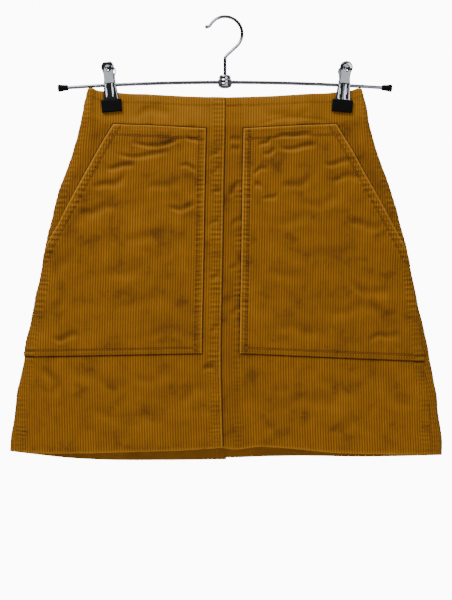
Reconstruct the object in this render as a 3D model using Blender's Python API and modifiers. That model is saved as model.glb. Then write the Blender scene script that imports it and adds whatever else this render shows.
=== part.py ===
"""A short a-line skirt in corduroy, held by its waist on a chrome clip hanger.

Metres, +Z up. The origin is where a rail touches the inside of the hook, and the front of the skirt faces -Y.
Left and right are the wearer's, so the left front is at +X.

The skirt hangs as a flattened tube. At each height its outer face is a ring: a slightly crowned front, a quarter
ellipse to each side fold, and a back; lean is how far the ring lies towards the wearer's left. Every piece of cloth
is placed on that ring by the arc length from its front middle, which is also the distance on the flat cut, and by
its height.
"""

import functools
import math
from collections import namedtuple

import bmesh
import bpy
import numpy as np
from mathutils import Matrix, Vector

# ---- cloth sizes ----
CLOTH = 0.0016  # corduroy wall
SEAM_GAP = 0.0003  # between neighbouring pieces
SIDE_GAP = 0.0005  # at the side seams, where the two walls meet on a fold
CROWN = 0.22  # share of the depth that the front and back lose from the middle to the fold
LAP_WIDTH = 0.015  # lapped centre front seam, on the right front
LAP_RAMP = 0.004
LAP_UNDER = 0.012  # how far the left front runs on below the lap

Section = namedtuple("Section", "height half_width depth cap lean centre_shift left_inset right_inset")
SECTIONS = (
    #        height  half_width depth   cap     lean   centre_shift left_inset right_inset
    Section(-0.084, 0.1705, 0.0085, 0.0070, 0.0000, 0.0000, 0.0000, 0.0000),
    Section(-0.104, 0.1755, 0.0088, 0.0080, 0.0000, 0.0000, 0.0000, 0.0000),
    Section(-0.141, 0.1835, 0.0100, 0.0120, 0.0000, -0.0004, 0.0000, 0.0000),
    Section(-0.162, 0.1885, 0.0112, 0.0160, 0.0000, -0.0008, 0.0000, 0.0000),
    Section(-0.185, 0.1970, 0.0128, 0.0220, 0.0000, -0.0013, 0.0000, 0.0000),
    Section(-0.210, 0.2060, 0.0143, 0.0290, 0.0000, -0.0018, 0.0000, 0.0000),
    Section(-0.241, 0.2150, 0.0158, 0.0370, 0.0002, -0.0025, 0.0000, 0.0000),
    Section(-0.279, 0.2245, 0.0170, 0.0440, 0.0009, -0.0038, 0.0000, 0.0000),
    Section(-0.329, 0.2330, 0.0182, 0.0500, 0.0022, -0.0060, 0.0015, 0.0000),
    Section(-0.379, 0.2440, 0.0193, 0.0540, 0.0025, -0.0073, 0.0055, 0.0000),
    Section(-0.429, 0.2550, 0.0204, 0.0570, 0.0026, -0.0079, 0.0095, 0.0005),
    Section(-0.479, 0.2640, 0.0216, 0.0600, 0.0024, -0.0068, 0.0125, 0.0020),
    Section(-0.566, 0.2730, 0.0236, 0.0640, 0.0014, -0.0034, 0.0160, 0.0060),
)

Edge = namedtuple("Edge", "share height")  # share 0 at the centre seam, 1 at the side seam
WAIST = (
    Edge(0.00, -0.1005),
    Edge(0.30, -0.0990),
    Edge(0.55, -0.0964),
    Edge(0.72, -0.0944),
    Edge(0.80, -0.0930),
    Edge(0.86, -0.0918),
    Edge(0.91, -0.0908),
    Edge(0.945, -0.0886),
    Edge(1.00, -0.0888),
)
POCKET_TOP = (Edge(0.00, -0.1408), Edge(1.00, -0.1320))
MOUTH_END = (Edge(0.00, -0.3050), Edge(1.00, -0.3050))  # where the slanted mouth meets the side seam
POCKET_BOTTOM_LEFT = (Edge(0.00, -0.4195), Edge(1.00, -0.4300))
POCKET_BOTTOM_RIGHT = (Edge(0.00, -0.4195), Edge(1.00, -0.4245))
HEM_RIGHT_FRONT = (
    Edge(0.00, -0.5365),
    Edge(0.13, -0.5390),
    Edge(0.40, -0.5420),
    Edge(0.65, -0.5440),
    Edge(0.90, -0.5440),
    Edge(1.00, -0.5425),
)
HEM_LEFT_FRONT = (
    Edge(0.00, -0.5370),
    Edge(0.05, -0.5390),
    Edge(0.18, -0.5362),
    Edge(0.32, -0.5378),
    Edge(0.50, -0.5425),
    Edge(0.75, -0.5450),
    Edge(1.00, -0.5468),
)
HEM_RIGHT_BACK = (
    Edge(0.00, -0.5570),
    Edge(0.30, -0.5585),
    Edge(0.55, -0.5575),
    Edge(0.75, -0.5535),
    Edge(0.90, -0.5475),
    Edge(1.00, -0.5425),
)
HEM_LEFT_BACK = (
    Edge(0.00, -0.5545),
    Edge(0.30, -0.5530),
    Edge(0.60, -0.5535),
    Edge(0.85, -0.5510),
    Edge(1.00, -0.5468),
)
# The lines across each panel from waist to hem, and the row of the grid that each one is.
LINE_ROWS = (0, 3, 11, 15, 18)
FRONT_LINES = {
    1: (WAIST, POCKET_TOP, MOUTH_END, POCKET_BOTTOM_LEFT, HEM_LEFT_FRONT),
    -1: (WAIST, POCKET_TOP, MOUTH_END, POCKET_BOTTOM_RIGHT, HEM_RIGHT_FRONT),
}
BACK_LINES = {
    1: (WAIST, POCKET_TOP, MOUTH_END, POCKET_BOTTOM_LEFT, HEM_LEFT_BACK),
    -1: (WAIST, POCKET_TOP, MOUTH_END, POCKET_BOTTOM_RIGHT, HEM_RIGHT_BACK),
}
TOP_ROW, MOUTH_ROW, BOTTOM_ROW, HEM_ROW = LINE_ROWS[1:]
OUTER_COLUMNS = 15  # of a front, from the pocket's inner edge to the side seam
BACK_COLUMNS = 20

# ---- where the clips flatten the waist ----
CLAMPED = 0.0019  # half the thickness of the two walls in a clip, with the gap between them
Grip = namedtuple("Grip", "x half_flat inner_fade outer_fade bottom fade_down")
GRIPS = (
    Grip(0.1470, 0.0162, 0.030, 0.0085, -0.120, 0.060),
    Grip(-0.1420, 0.0175, 0.030, 0.0110, -0.121, 0.060),
)

# ---- large soft folds: positive stands out ----
Fold = namedtuple("Fold", "side x top bottom width rise")
FOLDS = (
    Fold("front", 0.031, -0.440, -0.600, 0.020, -0.0045),
    Fold("front", -0.060, -0.470, -0.620, 0.050, 0.0030),
    Fold("front", 0.120, -0.450, -0.620, 0.055, 0.0025),
    Fold("front", -0.190, -0.300, -0.440, 0.022, -0.0030),
    Fold("front", 0.196, -0.330, -0.450, 0.020, -0.0025),
    Fold("back", 0.010, -0.400, -0.620, 0.022, -0.0045),
    Fold("back", -0.095, -0.330, -0.620, 0.050, 0.0030),
    Fold("back", 0.110, -0.360, -0.620, 0.050, 0.0030),
)

# ---- patch pockets, the same on both fronts ----
POCKET_INNER = 0.0235  # from the centre front
POCKET_TOP_WIDTH = 0.1170  # top edge, up to the slanted mouth
POCKET_GAP = 0.0006  # between a pocket and its front
MOUTH_LIFT = 0.0022  # how much farther the mouth's edge stands off

# ---- back zip ----
ZIP_TOP = -0.1025
ZIP_BOTTOM = -0.2800
TAPE_WIDTH = 0.0120
TAPE = 0.0008
PULL_AXIS = Vector((0.0, 0.0132, -0.1080))

# ---- hanger ----
HOOK_RADIUS = 0.0215
WIRE = 0.0020  # radius of the hook's wire
NECK_HEIGHT = -0.0490
HUB_TOP = -0.0717
HUB_BOTTOM = -0.0879
ROD = 0.0022  # radius of the bar
ROD_HEIGHT = -0.0806
ROD_HALF = 0.2020
ROD_DROOP = 0.0070  # how much lower the bar's ends are than its middle
CAP_LENGTH = 0.0130
CLIP_TILT = math.radians(5)
CLIP_ABOVE_PAD = 0.0265  # from a clip's pivot down to the middle of its pads
PAD = Vector((0.0254, 0.0036, 0.0155))
PLATE = 0.0012  # sheet steel of the levers


def clear_scene():
    for obj in list(bpy.data.objects):
        bpy.data.objects.remove(obj, do_unlink=True)


def new_collection(name):
    collection = bpy.data.collections.new(name)
    bpy.context.scene.collection.children.link(collection)
    return collection


def new_material(name, colour, roughness, metallic=0.0):
    material = bpy.data.materials.new(name)
    material.use_nodes = True
    shader = material.node_tree.nodes["Principled BSDF"]
    shader.inputs["Base Color"].default_value = (*colour, 1.0)
    shader.inputs["Roughness"].default_value = roughness
    shader.inputs["Metallic"].default_value = metallic
    return material


clear_scene()
SKIRT = new_collection("a_line_skirt")
CUTTERS = new_collection("cutters")
CORDUROY = new_material("ochre corduroy", (0.27, 0.10, 0.005), 0.9)
TAPE_CLOTH = new_material("zip tape", (0.20, 0.08, 0.01), 0.85)
CHROME = new_material("chromed steel", (0.75, 0.76, 0.78), 0.12, 1.0)
RUBBER = new_material("black rubber", (0.012, 0.012, 0.013), 0.55)
BRASS = new_material("painted zip metal", (0.25, 0.11, 0.01), 0.4, 0.6)


# ---- the hung form ----
def smooth(share):
    share = np.clip(share, 0.0, 1.0)
    return share * share * (3 - 2 * share)


def along(rows, column, value, key="height"):
    """A column of a table at a value of its key, on a smooth curve through the rows."""
    rows = sorted(rows, key=lambda row: getattr(row, key))
    keys = np.array([getattr(row, key) for row in rows])
    values = np.array([getattr(row, column) for row in rows])
    if value <= keys[0]:
        return float(values[0])
    if value >= keys[-1]:
        return float(values[-1])
    slopes = np.gradient(values, keys)
    i = int(np.searchsorted(keys, value)) - 1
    span = keys[i + 1] - keys[i]
    t = (value - keys[i]) / span
    return float(
        values[i] * (1 + 2 * t) * (1 - t) ** 2
        + slopes[i] * span * t * (1 - t) ** 2
        + values[i + 1] * t * t * (3 - 2 * t)
        + slopes[i + 1] * span * t * t * (t - 1)
    )


def gripped(xs, height):
    """1 where a clip holds the front and back together, 0 away from it."""
    most = np.zeros_like(xs)
    for grip in GRIPS:
        fade = np.where((xs - grip.x) * grip.x > 0, grip.outer_fade, grip.inner_fade)
        across = 1 - smooth((np.abs(xs - grip.x) - grip.half_flat) / fade)
        down = 1 - smooth((grip.bottom - height) / grip.fade_down)
        most = np.maximum(most, across * down)
    return most


def waved(xs, height, side):
    """How far the large folds move the front or the back outwards."""
    total = np.zeros_like(xs)
    for fold in FOLDS:
        if fold.side == side:
            grown = smooth((fold.top - height) / 0.06)
            faded = 1 - smooth((fold.bottom - height) / 0.04)
            total += fold.rise * grown * faded * np.exp(-(((xs - fold.x) / fold.width) ** 2))
    return total


@functools.lru_cache(maxsize=None)
def half_ring(height, side):
    """The outer face round one side, from the front middle to the back middle: arc lengths, x and y."""
    half = along(SECTIONS, "half_width", height)
    depth = along(SECTIONS, "depth", height)
    cap = along(SECTIONS, "cap", height)
    lean = along(SECTIONS, "lean", height)
    flat = np.linspace(0, half - cap, 60)
    angles = np.linspace(0, math.pi, 140)
    xs = np.concatenate([flat[:-1], half - cap + cap * np.sin(angles), flat[-2::-1]])
    bulge = np.concatenate([np.ones(59), np.cos(angles), -np.ones(59)])
    waves = np.where(
        bulge > 0, waved(side * xs, height, "front"), waved(side * xs, height, "back")
    )
    deep = depth * (1 - CROWN * (xs / half) ** 2) + waves * np.abs(bulge)
    grip = gripped(side * xs, height)
    ys = -bulge * (deep * (1 - grip) + CLAMPED * grip)
    lengths = np.concatenate([[0.0], np.cumsum(np.hypot(np.diff(xs), np.diff(ys)))])
    return lengths, side * xs + lean, ys


def ring_at(arc, height):
    lengths, xs, ys = half_ring(round(height, 4), 1 if arc >= 0 else -1)
    return Vector((np.interp(abs(arc), lengths, xs), np.interp(abs(arc), lengths, ys), height))


def cloth_point(arc, height, out=0.0):
    """A point on the cloth's outer face, or moved out from it. A positive arc goes round the wearer's left."""
    step = 0.0008
    tangent = ring_at(arc + step, height) - ring_at(arc - step, height)
    outwards = Vector((tangent.y, -tangent.x, 0.0)).normalized()
    return ring_at(arc, height) + outwards * out


def side_seam(height, side):
    """Arc length from the front middle to the side seam, which lies at or just in front of the side fold."""
    column = "left_inset" if side > 0 else "right_inset"
    inset = along(SECTIONS, column, height)
    lengths, xs, _ = half_ring(round(height, 4), side)
    reach = side * xs
    fold = int(np.argmax(reach))
    target = reach[fold] - max(inset, 0.0)
    return side * float(np.interp(target, reach[: fold + 1], lengths[: fold + 1]))


def centre_back(height, side):
    return side * float(half_ring(round(height, 4), side)[0][-1])


def centre_front(height):
    return along(SECTIONS, "centre_shift", height)


# ---- making solids ----
def finish(obj, material):
    obj.data.materials.append(material)
    SKIRT.objects.link(obj)
    return obj


def object_from(bm, name, material):
    mesh = bpy.data.meshes.new(name)
    bm.to_mesh(mesh)
    bm.free()
    mesh.shade_smooth()
    mesh.set_sharp_from_angle(angle=math.radians(35))
    return finish(bpy.data.objects.new(name, mesh), material)


def as_cutter(obj):
    obj.hide_render = True
    obj.display_type = "WIRE"
    for other in list(obj.users_collection):
        other.objects.unlink(obj)
    CUTTERS.objects.link(obj)
    return obj


def boolean(obj, operation, other):
    modifier = obj.modifiers.new(operation.lower(), "BOOLEAN")
    modifier.operation = operation
    modifier.object = other


def bevel(obj, width, segments=2):
    modifier = obj.modifiers.new("edges", "BEVEL")
    modifier.width = width
    modifier.segments = segments
    modifier.limit_method = "ANGLE"


def cloth(name, material, columns, rows, place, wall=CLOTH):
    """A wall of cloth: an open grid laid on the form by place(across, down), thickened inwards."""
    bm = bmesh.new()
    bmesh.ops.create_grid(bm, x_segments=columns, y_segments=rows, size=0.5)
    for vertex in bm.verts:
        vertex.co = place(vertex.co.x + 0.5, 0.5 - vertex.co.y)
    obj = object_from(bm, name, material)
    modifier = obj.modifiers.new("wall", "SOLIDIFY")
    modifier.thickness = wall
    modifier.offset = -1
    return obj


def tube(name, points, radius, material, sides=3):
    """A round wire along the points, with closed ends."""
    curve = bpy.data.curves.new(name, "CURVE")
    curve.dimensions = "3D"
    curve.bevel_depth = radius
    curve.bevel_resolution = sides
    curve.use_fill_caps = True
    spline = curve.splines.new("POLY")
    spline.points.add(len(points) - 1)
    for spot, point in zip(spline.points, points):
        spot.co = (*point, 1.0)
    return finish(bpy.data.objects.new(name, curve), material)


def cylinder(name, radius, length, place, material, sides=32, top_radius=None):
    """A cylinder or cone with its axis on local Z, set by a matrix."""
    bm = bmesh.new()
    bmesh.ops.create_cone(
        bm,
        cap_ends=True,
        segments=sides,
        radius1=radius,
        radius2=radius if top_radius is None else top_radius,
        depth=length,
    )
    obj = object_from(bm, name, material)
    obj.matrix_world = place
    return obj


def box(name, size, place, material):
    bm = bmesh.new()
    bmesh.ops.create_cube(bm, size=1.0, matrix=Matrix.Diagonal((*size, 1.0)))
    obj = object_from(bm, name, material)
    obj.matrix_world = place
    return obj


# ---- the skirt's panels ----
def dense_to_seam(share):
    """Spreads columns so that they crowd towards the side seam, at share 1."""
    return 1 - (1 - share) ** 2.2


def row_height(lines, share, row):
    """Height at a share of the way from the centre to the side seam, on a row of a panel's grid."""
    i = min(int(np.searchsorted(LINE_ROWS, row, side="right")) - 1, len(lines) - 2)
    down = (row - LINE_ROWS[i]) / (LINE_ROWS[i + 1] - LINE_ROWS[i])
    above = along(lines[i], "height", share, "share")
    below = along(lines[i + 1], "height", share, "share")
    return above + (below - above) * down


def front_width(side, row):
    """Distance from the centre front to the side seam's edge, along a row."""
    height = row_height(FRONT_LINES[side], 1, row)
    return abs(side_seam(height, side)) - side * centre_front(height) - SIDE_GAP / 2


def front_spot(side, row, distance, out):
    """A point of a front at a distance from the centre front, on a row, moved out by out."""
    height = row_height(FRONT_LINES[side], max(distance, 0) / front_width(side, row), row)
    return cloth_point(centre_front(height) + side * distance, height, out)


def front_panel(name, side, inner_columns, raised):
    """A front half: named distances near the centre front, then columns that crowd towards the side seam."""
    columns = len(inner_columns) + OUTER_COLUMNS

    def place(across, down):
        column = round((across if side > 0 else 1 - across) * columns)
        row = round(down * HEM_ROW)
        if column < len(inner_columns):
            distance = inner_columns[column]
        else:
            share = dense_to_seam((column - len(inner_columns)) / OUTER_COLUMNS)
            distance = POCKET_INNER + (front_width(side, row) - POCKET_INNER) * share
        return front_spot(side, row, distance, raised(distance))

    return cloth(name, CORDUROY, columns, HEM_ROW, place)


def lap_rise(distance):
    """The right front's edge lies on the left front: the last stretch is lifted by a wall and a gap."""
    return (CLOTH + SEAM_GAP) * smooth((LAP_WIDTH + LAP_RAMP - distance) / LAP_RAMP)


def back_panel(name, side):
    """A back half: from its side seam round the fold to the centre back."""

    def place(across, down):
        share = dense_to_seam(1 - across if side > 0 else across)
        height = row_height(BACK_LINES[side], share, down * HEM_ROW)
        start = centre_back(height, side) - side * SEAM_GAP / 2
        end = side_seam(height, side) + side * SIDE_GAP / 2
        return cloth_point(start + (end - start) * share, height)

    return cloth(name, CORDUROY, BACK_COLUMNS, HEM_ROW, place)


def pocket(name, side):
    """A patch pocket, on its front's own rows and columns moved out, drawn in at the slanted mouth."""
    rows = BOTTOM_ROW - TOP_ROW
    mouth_top = POCKET_INNER + POCKET_TOP_WIDTH
    mouth_foot = front_width(side, MOUTH_ROW)

    def place(across, down):
        share = dense_to_seam(across if side > 0 else 1 - across)
        row = TOP_ROW + round(down * rows)
        fallen = min((row - TOP_ROW) / (MOUTH_ROW - TOP_ROW), 1)
        edge = mouth_top + (mouth_foot - mouth_top) * fallen if fallen < 1 else front_width(side, row)
        lift = MOUTH_LIFT * smooth(share * 2.5 - 1.5) * smooth((1 - fallen) * 8)
        out = CLOTH + POCKET_GAP + lift
        return front_spot(side, row, POCKET_INNER + (edge - POCKET_INNER) * share, out)

    return cloth(name, CORDUROY, OUTER_COLUMNS, rows, place)


def zip_tape(name, side):
    """Half of the zip's tape, inside the back beside the centre back seam."""

    def place(across, down):
        share = 1 - across if side > 0 else across
        height = ZIP_TOP + (ZIP_BOTTOM - ZIP_TOP) * down
        arc = centre_back(height, side) - side * (SEAM_GAP / 2 + TAPE_WIDTH * share)
        return cloth_point(arc, height, -CLOTH - SEAM_GAP)

    return cloth(name, TAPE_CLOTH, 2, 14, place, TAPE)


def build_skirt():
    front_panel("front_left", 1, (-LAP_UNDER, -LAP_UNDER / 2, 0, 0.0120), lambda distance: 0.0)
    front_panel(
        "front_right", -1, (0, LAP_WIDTH / 2, LAP_WIDTH, LAP_WIDTH + LAP_RAMP), lap_rise
    )
    back_panel("back_left", 1)
    back_panel("back_right", -1)
    pocket("pocket_left", 1)
    pocket("pocket_right", -1)
    zip_tape("zip_tape_left", 1)
    zip_tape("zip_tape_right", -1)


# ---- the zip's slider and pull ----
def build_zip_pull():
    body_front = PULL_AXIS.y - 0.0009
    body = Vector((0.0044, 0.0030, 0.0080))
    slider = box(
        "zip_slider",
        body,
        Matrix.Translation((0, body_front - body.y / 2, PULL_AXIS.z)),
        BRASS,
    )
    bevel(slider, 0.0006)
    bpy.ops.mesh.primitive_torus_add(
        location=(0, body_front, PULL_AXIS.z),
        rotation=(0, math.pi / 2, 0),
        major_radius=0.0024,
        minor_radius=0.0006,
        major_segments=24,
        minor_segments=8,
    )
    boolean(slider, "UNION", as_cutter(bpy.context.object))

    bar = 0.00055  # half the thickness of the pull and of its crossbar
    pull = box("zip_pull", (0.0062, 2 * bar, 0.0250), Matrix.Translation(PULL_AXIS), BRASS)
    for vertex in pull.data.vertices:
        vertex.co.z -= 0.0125 - bar
        if vertex.co.z < -0.01:
            vertex.co.x *= 0.72
    window = box(
        "pull_window", (0.0030, 0.0100, 0.0038), Matrix.Translation(PULL_AXIS), BRASS
    )
    for vertex in window.data.vertices:
        vertex.co.z -= 0.0019 + bar
    boolean(pull, "DIFFERENCE", as_cutter(window))


# ---- the hanger ----
def rod_height(x):
    return ROD_HEIGHT - ROD_DROOP * (x / ROD_HALF) ** 2


def rod_slope(x):
    return math.atan(-2 * ROD_DROOP * x / ROD_HALF**2)


def hook_points():
    """From the turned-out tip over the arc, then straight down to the neck and into the hub."""
    first, last, steps = math.radians(152), math.radians(-40), 30
    centre = Vector((0, 0, -(HOOK_RADIUS - WIRE)))
    arc = [
        centre + HOOK_RADIUS * Vector((math.cos(angle), 0, math.sin(angle)))
        for angle in np.linspace(first, last, steps)
    ]
    tip = [arc[0] + Vector((-0.0062, 0, -0.0012)), arc[0] + Vector((-0.0030, 0, -0.0014))]
    foot = Vector((0, 0, NECK_HEIGHT))
    run = foot - arc[-1]
    neck = [arc[-1] + run * share for share in (0.3, 0.6, 0.88)]
    stem = [Vector((0, 0, NECK_HEIGHT - drop)) for drop in (0.0035, 0.012, 0.0257)]
    return tip + arc + neck + stem


def build_hook_and_hub():
    tube("hook", hook_points(), WIRE, CHROME)
    profile = (
        (0.0, HUB_TOP),
        (0.0058, HUB_TOP),
        (0.0072, HUB_TOP - 0.0012),
        (0.0074, HUB_TOP - 0.0050),
        (0.0086, HUB_TOP - 0.0058),
        (0.0088, HUB_BOTTOM + 0.0050),
        (0.0078, HUB_BOTTOM + 0.0018),
        (0.0048, HUB_BOTTOM),
        (0.0, HUB_BOTTOM),
    )
    bm = bmesh.new()
    spots = [bm.verts.new((radius, 0, height)) for radius, height in profile]
    for upper, lower in zip(spots, spots[1:]):
        bm.edges.new((upper, lower))
    hub = object_from(bm, "hub", CHROME)
    turned = hub.modifiers.new("turned", "SCREW")
    turned.steps = turned.render_steps = 24
    turned.use_merge_vertices = True
    turned.merge_threshold = 0.00001
    stem_bore = cylinder(
        "stem_bore", WIRE + 0.0003, 0.012, Matrix.Translation((0, 0, HUB_TOP + 0.0020)), CHROME
    )
    rod_bore = cylinder(
        "rod_bore",
        ROD + 0.0003,
        0.040,
        Matrix.Translation((0, 0, ROD_HEIGHT)) @ Matrix.Rotation(math.pi / 2, 4, "Y"),
        CHROME,
    )
    boolean(hub, "DIFFERENCE", as_cutter(stem_bore))
    boolean(hub, "DIFFERENCE", as_cutter(rod_bore))


def build_rod():
    xs = np.linspace(-ROD_HALF, ROD_HALF, 25)
    tube("rod", [Vector((x, 0, rod_height(x))) for x in xs], ROD, CHROME)
    for name, side in (("end_cap_left", 1), ("end_cap_right", -1)):
        middle = side * (ROD_HALF + 0.0015)
        turn = Matrix.Rotation(-rod_slope(middle) + side * math.pi / 2, 4, "Y")
        place = Matrix.Translation((middle, 0, rod_height(middle))) @ turn
        cap = cylinder(name, 0.0034, CAP_LENGTH, place, RUBBER, 24, top_radius=0.0048)
        bore = cylinder(
            name + "_bore",
            ROD + 0.0003,
            0.014,
            place @ Matrix.Translation((0, 0, -0.0078)),
            RUBBER,
        )
        bevel(cap, 0.0006, 1)
        boolean(cap, "DIFFERENCE", as_cutter(bore))


Lever = namedtuple("Lever", "height half_width away")
LEVER = (  # from the pads up: away is the distance from the cloth's middle plane to the plate's outer face
    Lever(-0.0184, 0.0098, 0.0048),
    Lever(-0.0120, 0.0090, 0.0052),
    Lever(-0.0050, 0.0080, 0.0057),
    Lever(0.0010, 0.0073, 0.0066),
    Lever(0.0080, 0.0063, 0.0104),
    Lever(0.0140, 0.0066, 0.0140),
    Lever(0.0200, 0.0081, 0.0163),
    Lever(0.0245, 0.0066, 0.0172),
    Lever(0.0272, 0.0034, 0.0176),
)


def build_clip(name, side, grip):
    """A sprung clip on the bar: two levers nested by their ears, a spring round the bar and two rubber pads."""
    pivot_x = grip.x + side * CLIP_ABOVE_PAD * math.sin(CLIP_TILT)
    place = Matrix.Translation((pivot_x, 0, rod_height(pivot_x)))
    place = place @ Matrix.Rotation(side * CLIP_TILT, 4, "Y")
    lying = Matrix.Rotation(math.pi / 2, 4, "Y")

    def plate(across, down, facing):
        height = LEVER[0].height + (LEVER[-1].height - LEVER[0].height) * (1 - down)
        half = along(LEVER, "half_width", height)
        away = along(LEVER, "away", height)
        return Vector((facing * half * (2 * across - 1), -facing * away, height))

    for which, facing, ear_x in (("front", 1, 0.0068), ("back", -1, 0.0052)):
        lever = cloth(
            f"{name}_{which}_lever",
            CHROME,
            2,
            12,
            functools.partial(plate, facing=facing),
            PLATE,
        )
        lever.matrix_world = place
        for ear_side in (-1, 1):
            ear = cylinder(
                f"{name}_{which}_ear_{ear_side}",
                0.0055,
                0.0011,
                place @ Matrix.Translation((ear_side * ear_x, -facing * 0.0009, 0)) @ lying,
                CHROME,
                16,
            )
            boolean(lever, "UNION", as_cutter(ear))
        bore = cylinder(f"{name}_{which}_bore", ROD + 0.0006, 0.030, place @ lying, CHROME, 16)
        boolean(lever, "DIFFERENCE", as_cutter(bore))
        pad_place = Matrix.Translation(
            (0, -facing * (CLAMPED + SEAM_GAP + PAD.y / 2), -CLIP_ABOVE_PAD)
        )
        pad = box(f"{name}_{which}_pad", PAD, place @ pad_place, RUBBER)
        bevel(pad, 0.0009)
    spring = cylinder(f"{name}_spring", 0.0042, 0.0084, place @ lying, CHROME, 24)
    hollow = cylinder(f"{name}_spring_bore", ROD + 0.0005, 0.020, place @ lying, CHROME, 24)
    boolean(spring, "DIFFERENCE", as_cutter(hollow))


build_skirt()
build_zip_pull()
build_hook_and_hub()
build_rod()
build_clip("clip_left", 1, GRIPS[0])
build_clip("clip_right", -1, GRIPS[1])
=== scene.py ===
"""A short a-line skirt in ochre corduroy, held flat by its waist on a chrome clip hanger.

Metres, +Z up, the front at -Y and the wearer's left at +X. The cloth is laid wale by wale on the form in
which the skirt hangs, so the wales, seams and creases are real relief. The hanger is rebuilt in smooth metal
and rubber.
"""

import math
from collections import namedtuple

import bmesh
import bpy
import numpy as np
from mathutils import Matrix, Vector


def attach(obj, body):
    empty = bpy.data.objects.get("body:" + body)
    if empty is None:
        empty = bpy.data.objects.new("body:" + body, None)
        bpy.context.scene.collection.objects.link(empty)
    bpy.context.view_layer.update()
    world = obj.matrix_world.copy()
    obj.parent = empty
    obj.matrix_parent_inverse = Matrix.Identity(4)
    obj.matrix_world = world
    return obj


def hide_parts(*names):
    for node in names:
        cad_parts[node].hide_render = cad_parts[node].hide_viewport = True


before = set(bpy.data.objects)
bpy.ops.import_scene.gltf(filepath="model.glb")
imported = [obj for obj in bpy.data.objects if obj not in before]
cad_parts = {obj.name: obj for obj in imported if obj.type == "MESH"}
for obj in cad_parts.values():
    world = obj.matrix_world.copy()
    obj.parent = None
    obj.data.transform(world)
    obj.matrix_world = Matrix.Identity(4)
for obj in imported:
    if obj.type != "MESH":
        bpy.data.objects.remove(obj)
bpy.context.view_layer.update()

# ---- cloth sizes ----
WALL = 0.0016  # the room that a wall of cloth has in the frame
GROUND = 0.0013  # from the wales' tops to the cloth's inner face
WALE = 0.0032  # from groove to groove: 8 wales to the inch
COLUMN = WALE / 3
RELIEF = np.array((-0.00032, 0.00005, 0.00005))  # a groove, and the two shoulders of the wale beside it
SEAM_GAP = 0.0003
SIDE_GAP = 0.00004  # a sewn side seam lets no light through
CROWN = 0.22
LAP_WIDTH = 0.015
LAP_RAMP = 0.004
LAP_UNDER = 0.012
BACK_LEAN = 0.15  # how far the backs' grain leans outwards on its way down
ALLOWANCE = {1: 0.013, -1: 0.016}  # turned seam allowance at the side seams, which shows through
HEM = 0.044  # depth of the turned hem
WAIST_ROW = 0.011  # of the topstitch row below the waist's edge

Section = namedtuple("Section", "height half_width depth cap lean centre_shift left_inset right_inset")
SECTIONS = (
    Section(-0.084, 0.1705, 0.0085, 0.0070, 0.0000, 0.0000, 0.0000, 0.0000),
    Section(-0.104, 0.1755, 0.0088, 0.0080, 0.0000, 0.0000, 0.0000, 0.0000),
    Section(-0.141, 0.1835, 0.0100, 0.0120, 0.0000, -0.0004, 0.0000, 0.0000),
    Section(-0.162, 0.1885, 0.0112, 0.0160, 0.0000, -0.0008, 0.0000, 0.0000),
    Section(-0.185, 0.1970, 0.0128, 0.0220, 0.0000, -0.0013, 0.0000, 0.0000),
    Section(-0.210, 0.2060, 0.0143, 0.0290, 0.0000, -0.0018, 0.0000, 0.0000),
    Section(-0.241, 0.2150, 0.0158, 0.0370, 0.0002, -0.0025, 0.0000, 0.0000),
    Section(-0.279, 0.2245, 0.0170, 0.0440, 0.0009, -0.0038, 0.0000, 0.0000),
    Section(-0.329, 0.2330, 0.0182, 0.0500, 0.0022, -0.0060, 0.0015, 0.0000),
    Section(-0.379, 0.2440, 0.0193, 0.0540, 0.0025, -0.0073, 0.0055, 0.0000),
    Section(-0.429, 0.2550, 0.0204, 0.0570, 0.0026, -0.0079, 0.0095, 0.0005),
    Section(-0.479, 0.2640, 0.0216, 0.0600, 0.0024, -0.0068, 0.0125, 0.0020),
    Section(-0.566, 0.2730, 0.0236, 0.0640, 0.0014, -0.0034, 0.0160, 0.0060),
)

Edge = namedtuple("Edge", "share height")  # share 0 at the centre seam, 1 at the side seam
WAIST = (
    Edge(0.00, -0.1005),
    Edge(0.30, -0.0990),
    Edge(0.55, -0.0964),
    Edge(0.72, -0.0944),
    Edge(0.80, -0.0930),
    Edge(0.86, -0.0918),
    Edge(0.91, -0.0908),
    Edge(0.945, -0.0886),
    Edge(1.00, -0.0888),
)
FRONT_HEM = {
    1: (
        Edge(0.00, -0.5370),
        Edge(0.05, -0.5390),
        Edge(0.18, -0.5362),
        Edge(0.32, -0.5378),
        Edge(0.50, -0.5425),
        Edge(0.75, -0.5450),
        Edge(1.00, -0.5468),
    ),
    -1: (
        Edge(0.00, -0.5365),
        Edge(0.13, -0.5390),
        Edge(0.40, -0.5420),
        Edge(0.65, -0.5440),
        Edge(0.90, -0.5440),
        Edge(1.00, -0.5425),
    ),
}
BACK_HEM = {
    1: (
        Edge(0.00, -0.5545),
        Edge(0.30, -0.5530),
        Edge(0.60, -0.5535),
        Edge(0.85, -0.5510),
        Edge(1.00, -0.5468),
    ),
    -1: (
        Edge(0.00, -0.5570),
        Edge(0.30, -0.5585),
        Edge(0.55, -0.5575),
        Edge(0.75, -0.5535),
        Edge(0.90, -0.5475),
        Edge(1.00, -0.5425),
    ),
}

CLAMPED = 0.0019
Grip = namedtuple("Grip", "x half_flat inner_fade outer_fade bottom fade_down")
GRIPS = (
    Grip(0.1470, 0.0162, 0.030, 0.0085, -0.120, 0.060),
    Grip(-0.1420, 0.0175, 0.030, 0.0110, -0.121, 0.060),
)

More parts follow.
